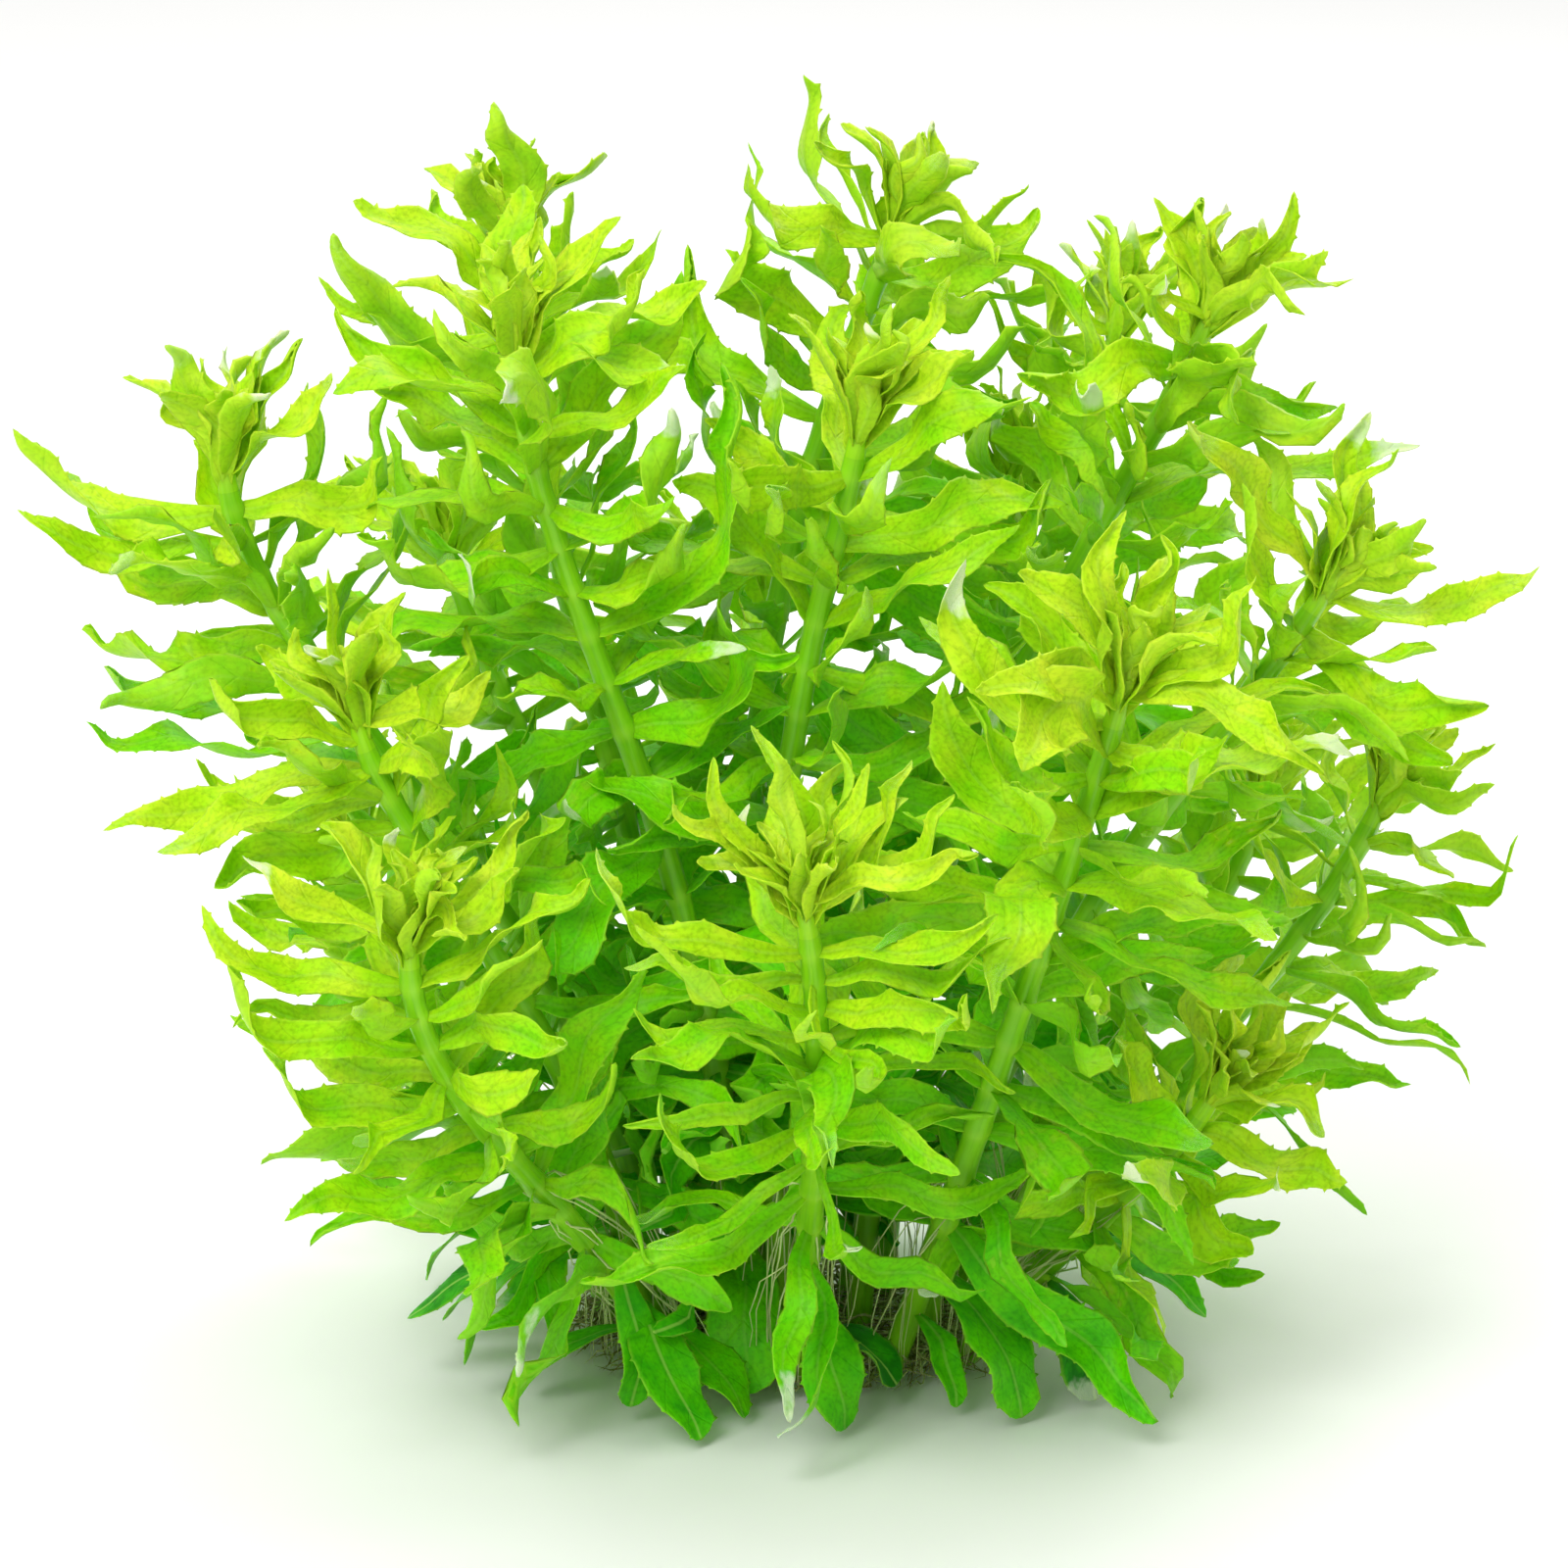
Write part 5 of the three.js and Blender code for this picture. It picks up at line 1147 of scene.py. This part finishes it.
veined = node(tree, "Math", [vein, VEIN_RELIEF, streaks], operation="MULTIPLY_ADD")
relief = node(tree, "Math", [grain, GRAIN_RELIEF, veined], operation="MULTIPLY_ADD")
bump = node(tree, "Bump", {"Strength": 0.6, "Distance": RELIEF * MM, "Height": relief})
gloss = node(tree, "MapRange", [patches, *GLOSS_BY_PATCH])
tissue = node(tree, "BsdfPrincipled", {
    "Base Color": shade, "Roughness": gloss, "Normal": bump, "IOR": 1.42, "Specular IOR Level": 0.18,
    "Subsurface Weight": 0.3, "Subsurface Radius": (0.7, 1, 0.1), "Subsurface Scale": 0.8 * MM})
node(tree, "OutputMaterial", [tissue])
print(len(tree.nodes), "nodes in", leaf_tissue.name)

# %% Stem skin
# A stem is the same living tissue, but round, thicker and smoother, with fine lengthwise fibres and
# slightly paler nodes.
FIBRE_LENGTH, FIBRE_WIDTH = 22, 0.7  # mm
FIBRE_RELIEF = 0.2  # mm
FIBRE_MARKS, NODE_MARKS = (0.45, 0.7, 0, 0.35), (0.3, 1, 0, 0.3)  # by the noise, and by the swelling
AGE_BY_CLOUD = (0.3, 0.7, -0.15, 0.15)

stem_skin, tree = empty_material("stem_skin")
blade = node(tree, "Attribute", attribute_name=BLADE).outputs["Vector"]
patch = node(tree, "Attribute", attribute_name=PATCH).outputs["Vector"]
age = node(tree, "Attribute", attribute_name=AGE).outputs["Fac"]
swelling = node(tree, "SeparateXYZ", [blade])
stretched = node(tree, "VectorMath", [patch, (1 / FIBRE_LENGTH, 1 / FIBRE_WIDTH, 1)], operation="MULTIPLY")
fibres = node(tree, "TexNoise", {"Vector": stretched, "Scale": 1, "Detail": 3})
clouds = node(tree, "TexNoise", {"Vector": patch, "Scale": 1 / PATCH_SIZE, "Detail": 2})
cloud_age = node(tree, "MapRange", [clouds, *AGE_BY_CLOUD])
aged = node(tree, "Math", [age, cloud_age], operation="ADD")
fibre = node(tree, "MapRange", [fibres, *FIBRE_MARKS])
ring = node(tree, "MapRange", [swelling, *NODE_MARKS])
shade = marked_shade(tree, colour("#A6E01C"), [
    (aged, "MIX", "#6CC20A"), (fibre, "MULTIPLY", "#9CC860"), (ring, "MIX", "#B8E63C")])
bump = node(tree, "Bump", {"Strength": 0.5, "Distance": FIBRE_RELIEF * MM, "Height": fibres})
skin = node(tree, "BsdfPrincipled", {
    "Base Color": shade, "Roughness": 0.34, "Normal": bump, "IOR": 1.42, "Subsurface Weight": 0.35,
    "Subsurface Radius": (0.8, 1, 0.15), "Subsurface Scale": 1.5 * MM})
node(tree, "OutputMaterial", [skin])
print(len(tree.nodes), "nodes in", stem_skin.name)

# %% Root fibre
# Water roots are hair-thin, pale when new, and they turn straw-brown where they lie on the ground.
ROOT_AGE_BY_CLOUD = (0.35, 0.65, -0.3, 0.3)

root_fibre, tree = empty_material("root_fibre")
patch = node(tree, "Attribute", attribute_name=PATCH).outputs["Vector"]
age = node(tree, "Attribute", attribute_name=AGE).outputs["Fac"]
clouds = node(tree, "TexNoise", {"Vector": patch, "Scale": 1 / PATCH_SIZE, "Detail": 2})
cloud_age = node(tree, "MapRange", [clouds, *ROOT_AGE_BY_CLOUD])
aged = node(tree, "Math", [age, cloud_age], operation="ADD")
shade = marked_shade(tree, colour("#D4E29A"), [(aged, "MIX", "#7C7A34")])
strand = node(tree, "BsdfPrincipled", {
    "Base Color": shade, "Roughness": 0.5, "Subsurface Weight": 0.3, "Subsurface Radius": (1, 0.9, 0.5),
    "Subsurface Scale": 0.5 * MM})
node(tree, "OutputMaterial", [strand])
print(len(tree.nodes), "nodes in", root_fibre.name)

# %% [markdown]
# ## Leafy stems
# Each stem and the leaves of its whorls are one living piece, so they are one mesh with two materials.
# A leaf's age goes by its place: the further below the crown and the nearer to the ground, the older. The
# darkening near the ground is partly painted shade.

# %% Leafy stems
FIRST_AGE, AGE_PER_MM, OLDEST_IN_LIGHT = 0.12, 0.0036, 0.7
PAINTED_SHADE_HEIGHT, AGE_AND_PAINTED_SHADE = 50, 0.3  # leaves below that height are older by up to this, and darker, which is partly painted shade
AGE_STRAY, MORE_IN_SHADE = 0.07, 2
STEM_CUP, STEM_AGE, STEM_SLENDER = 0.4, 0.5, 0.9
MARKED_CURL, FREE_CURL = 2, 10  # mm at most, of listed leaves and of the others


def age_at(down, leaf):
    """The age of a leaf on a stem, from 0 to 1, by its node's length below the top and its height. Near the
    ground the added age is partly painted shade.
    """
    shade = max(0, 1 - leaf["root"][2] / PAINTED_SHADE_HEIGHT)
    in_light = min(FIRST_AGE + AGE_PER_MM * down, OLDEST_IN_LIGHT)
    stray = between(leaf["seed"] + 14, -AGE_STRAY, AGE_STRAY) * (1 + MORE_IN_SHADE * shade)
    return in_light + AGE_AND_PAINTED_SHADE * shade + stray


for i, stem_whorls in enumerate(whorls):
    bm = new_skin()
    add_stem(bm, i, CROWN_STUB, stem_runs[i][-1], STEM_AGE)
    for w, (down, stem_leaves) in enumerate(zip(whorl_depths(i), stem_whorls), 1):
        for n, leaf in enumerate(stem_leaves):
            curl = MARKED_CURL if n < len(marks_of(i, w)) else FREE_CURL
            dress_leaf(bm, leaf, age_at(down, leaf), STEM_SLENDER, STEM_CUP, curl)
    for down, leaf in fillers[i]:
        dress_leaf(bm, leaf, age_at(down, leaf), STEM_SLENDER, STEM_CUP, FREE_CURL, PLAIN)
    as_piece(bm, f"leafy_stem_{i + 1:02}", [leaf_tissue, stem_skin], f"stem_{i + 1:02}")
print("stems:", sum(triangles.values()), "triangles")

# %% [markdown]
# ## Tips of the shoots
# A crown is a rosette of young leaves, deeply cupped. Inside it stand ever shorter and narrower ones, and
# the innermost are still furled. These inner leaves are only in this scene, within reach of the outer ones.

# %% Leaf tips
CROWN_CUP, CROWN_SLENDER = 0.6, 0.8
CROWN_AGE, CROWN_AGE_STRAY = (0.14, 0.04), 0.04
INNER_CUP, INNER_SLENDER, INNER_WAVES = 0.6, 1, 0.5
# How the inner leaves go from the longest to the innermost, and how they vary.
INNER_LEAVES = 14
INNER_DEPTH = (8.6, 0.6)  # of the node below the top of the stem
INNER_LENGTH = (0.68, 0.2)  # as shares of a leaf's length
INNER_AGE = (0.1, 0)
INNER_CLIMB, STEEPER = (40, 56), 26
INNER_LENGTHS, INNER_WIDTH = (0.8, 1.1), 0.25  # shares of that length
INNER_ROOTING = 0.6  # from the stem's axis
INNER_BOW = 0.12
INNER_SHAPE = {"hook": (-0.1, 0.15), "sway": (-0.08, 0.08), "roll": (0, 0.6), "twist": (-0.5, 0.5)}


def inner_leaf(index, i):
    """One of the small leaves inside a crown, from the longest to the innermost."""
    up = i / (INNER_LEAVES - 1)
    spot = node_at(index, below(index, part_way(INNER_DEPTH, up)))
    seed = seed_of(index, MOST - 1, i)
    turn, climb = i * GOLDEN_ANGLE + chance(seed), between(seed + 2, *INNER_CLIMB) + STEEPER * up
    usual = LEAF_LENGTH * SHOOTS[index]["size"]
    length = usual * part_way(INNER_LENGTH, up) * between(seed + 1, *INNER_LENGTHS)
    base, tip = chord_at(spot, turn, climb, INNER_ROOTING, length)
    return make_leaf(spot["at"], base, tip, spot["axis"], length * INNER_WIDTH + 1, seed, INNER_BOW,
                     **drawn(seed + 2, INNER_SHAPE))


for i, crown in enumerate(crowns):
    bm = new_skin()
    add_stem(bm, i, 0, CROWN_STUB, 0)
    for step, leaf in enumerate(crown):
        stray = between(leaf["seed"] + 14, -CROWN_AGE_STRAY, CROWN_AGE_STRAY)
        age = part_way(CROWN_AGE, step / len(crown)) + stray
        dress_leaf(bm, leaf, age, CROWN_SLENDER, CROWN_CUP, MARKED_CURL)
    for step in range(INNER_LEAVES):
        leaf, age = inner_leaf(i, step), part_way(INNER_AGE, step / INNER_LEAVES)
        dress_leaf(bm, leaf, age, INNER_SLENDER, INNER_CUP, MARKED_CURL, PLAIN, INNER_WAVES)
    as_piece(bm, f"leaf_tip_{i + 1:02}", [leaf_tissue, stem_skin], f"crown_{i + 1:02}")
print("stems and tips:", sum(triangles.values()), "triangles")

# %% [markdown]
# ## Old leaves at the foot
# The leaves in the shade near the ground are broad, dark and flatter than the others. Each hangs from its
# own short stalk.

# %% Old leaves
OLD_AGES = (0.66, 1.02)
OLD_CUP, OLD_SLENDER, OLD_CURL, OLD_WAVES = 0.22, 1.12, 1, 0.35

for i, leaf in enumerate(foot_leaves):
    bm = new_skin()
    age = between(leaf["seed"] + 14, *OLD_AGES)
    dress_leaf(bm, leaf, age, OLD_SLENDER, OLD_CUP, OLD_CURL, FINE, OLD_WAVES)
    as_piece(bm, f"old_leaf_{i + 1:02}", [leaf_tissue], f"foot_leaf_{i + 1:02}")
print("with the old leaves:", sum(triangles.values()), "triangles")

# %% [markdown]
# ## Roots
# The lowest nodes send out hair-thin pale roots that hang to the ground, and a tangle of brownish ones
# holds the stems' feet together. Each is a thin closed strand. It starts in a stem's skin, droops and then
# creeps over the ground inside the mat.

# %% Root threads
ROOT_SIDES, ROOT_STEPS = 4, 9
TIP_THINNING = 0.5  # share of its thickness that a thread loses by its tip
ACROSS = [0.31, 0.22, 0.93]  # a way that no thread runs along
THREAD_LENGTH = 30  # as the material reads it


def add_thread(bm, curve, radius, waver, age, number):
    """Adds a thin strand along a curve, with a waver of its own in mm."""
    rng = np.random.default_rng(number)
    s = np.linspace(0, 1, ROOT_STEPS)
    centre = on_curve(curve, s)
    centre[1:-1] += rng.normal(0, waver, (ROOT_STEPS - 2, 3))
    way = unit(np.gradient(centre, axis=0))
    east = unit(np.cross(way, ACROSS))
    turn = np.linspace(0, 2 * math.pi, ROOT_SIDES + 1)
    thick = radius * (1 - TIP_THINNING * s)[:, None]
    rings = tube(centre, east, np.cross(way, east), thick, turn, THREAD_HEIGHT)
    patch = channels(s[:, None] * THREAD_LENGTH, 0 * turn, float(number))
    wrap(bm, rings, patch, patch, age, 0)


def on_mat(point):
    """The point, moved straight inwards if it lies outside the mat's rim."""
    reach = math.hypot(point[0] / MAT_RADIUS_X, point[1] / MAT_RADIUS_Y)
    return point[:2] / max(reach, 1)


# %% Hanging roots
HANGING_BELOW = 60  # height of the highest node that has roots
ROOTS_OF_NODE = 6
ROOTED = 0.8  # share of the stem's radius
HANGING_REACH, STRAY = (2, 14), 3
SHOULDER, DROP = 0.7, 0.5  # shares of the reach and of the height, for the thread's guide points
HANGING_END = (0.5, 4)
HANGING_RADIUS, HANGING_WAVER, HANGING_AGE = (0.16, 0.3), 0.5, (-0.3, 0.3)
ROOT_SEED = 5

bm = new_skin()
rng = np.random.default_rng(ROOT_SEED)
number = 0
for i in range(len(stems)):
    for down in stem_nodes(i):
        spot = node_at(i, below(i, down))
        if spot["at"][2] > HANGING_BELOW:
            continue
        for _ in range(ROOTS_OF_NODE):
            number += 1
            out = out_of(spot, rng.uniform(0, 2 * math.pi))
            start = spot["at"] + out * spot["radius"] * ROOTED
            reach = rng.uniform(*HANGING_REACH)
            over = on_mat(start + out * reach + rng.normal(0, STRAY, 3))
            end = np.array([*over, rng.uniform(*HANGING_END)])
            guides = start + out * reach * SHOULDER, end + [0, 0, start[2] * DROP]
            add_thread(bm, np.array([start, *guides, end]), rng.uniform(*HANGING_RADIUS), HANGING_WAVER,
                       rng.uniform(*HANGING_AGE), number)
print(number, "hanging roots")

# %% Root tangle
CREEPING_ROOTS = 620
CREEPING_START = 1.5  # from the stem's axis
CREEPING_REACH, ASIDE, HALFWAY_ASIDE = (8, 34), (-8, 8), (-7, 7)
CREEPING_END = (0.3, 3.5)
CREEPING_RADIUS, CREEPING_WAVER, CREEPING_AGE = (0.2, 0.4), 0.6, (0.4, 1.1)


def level_way(turn):
    return np.array([math.cos(turn), math.sin(turn), 0])


for _ in range(CREEPING_ROOTS):
    number += 1
    foot = stems[rng.integers(len(stems))][0]
    turn = rng.uniform(0, 2 * math.pi)
    away, bent = level_way(turn), level_way(turn + 1)
    start = foot + away * CREEPING_START + [0, 0, rng.uniform(1, MAT_HEIGHT)]
    over = on_mat(foot + away * rng.uniform(*CREEPING_REACH) + bent * rng.uniform(*ASIDE))
    end = np.array([*over, rng.uniform(*CREEPING_END)])
    halfway = (start + end) / 2 + bent * rng.uniform(*HALFWAY_ASIDE)
    middle = np.array([*on_mat(halfway), rng.uniform(1, MAT_HEIGHT + 1)])
    curve = np.array([start, middle + [0, 0, 1], middle, end])
    add_thread(bm, curve, rng.uniform(*CREEPING_RADIUS), CREEPING_WAVER, rng.uniform(*CREEPING_AGE), number)
as_piece(bm, "root_threads", [root_fibre], "root_mat")
print("roots:", triangles["root_threads"], "triangles")

# %% [markdown]
# ## Measure and finish
# The dressed plant must keep the size of its solids. Here we count its pieces and triangles.

# %% Finish
print(len(triangles), "pieces of", sum(triangles.values()), "triangles, at most", max(triangles.values()))
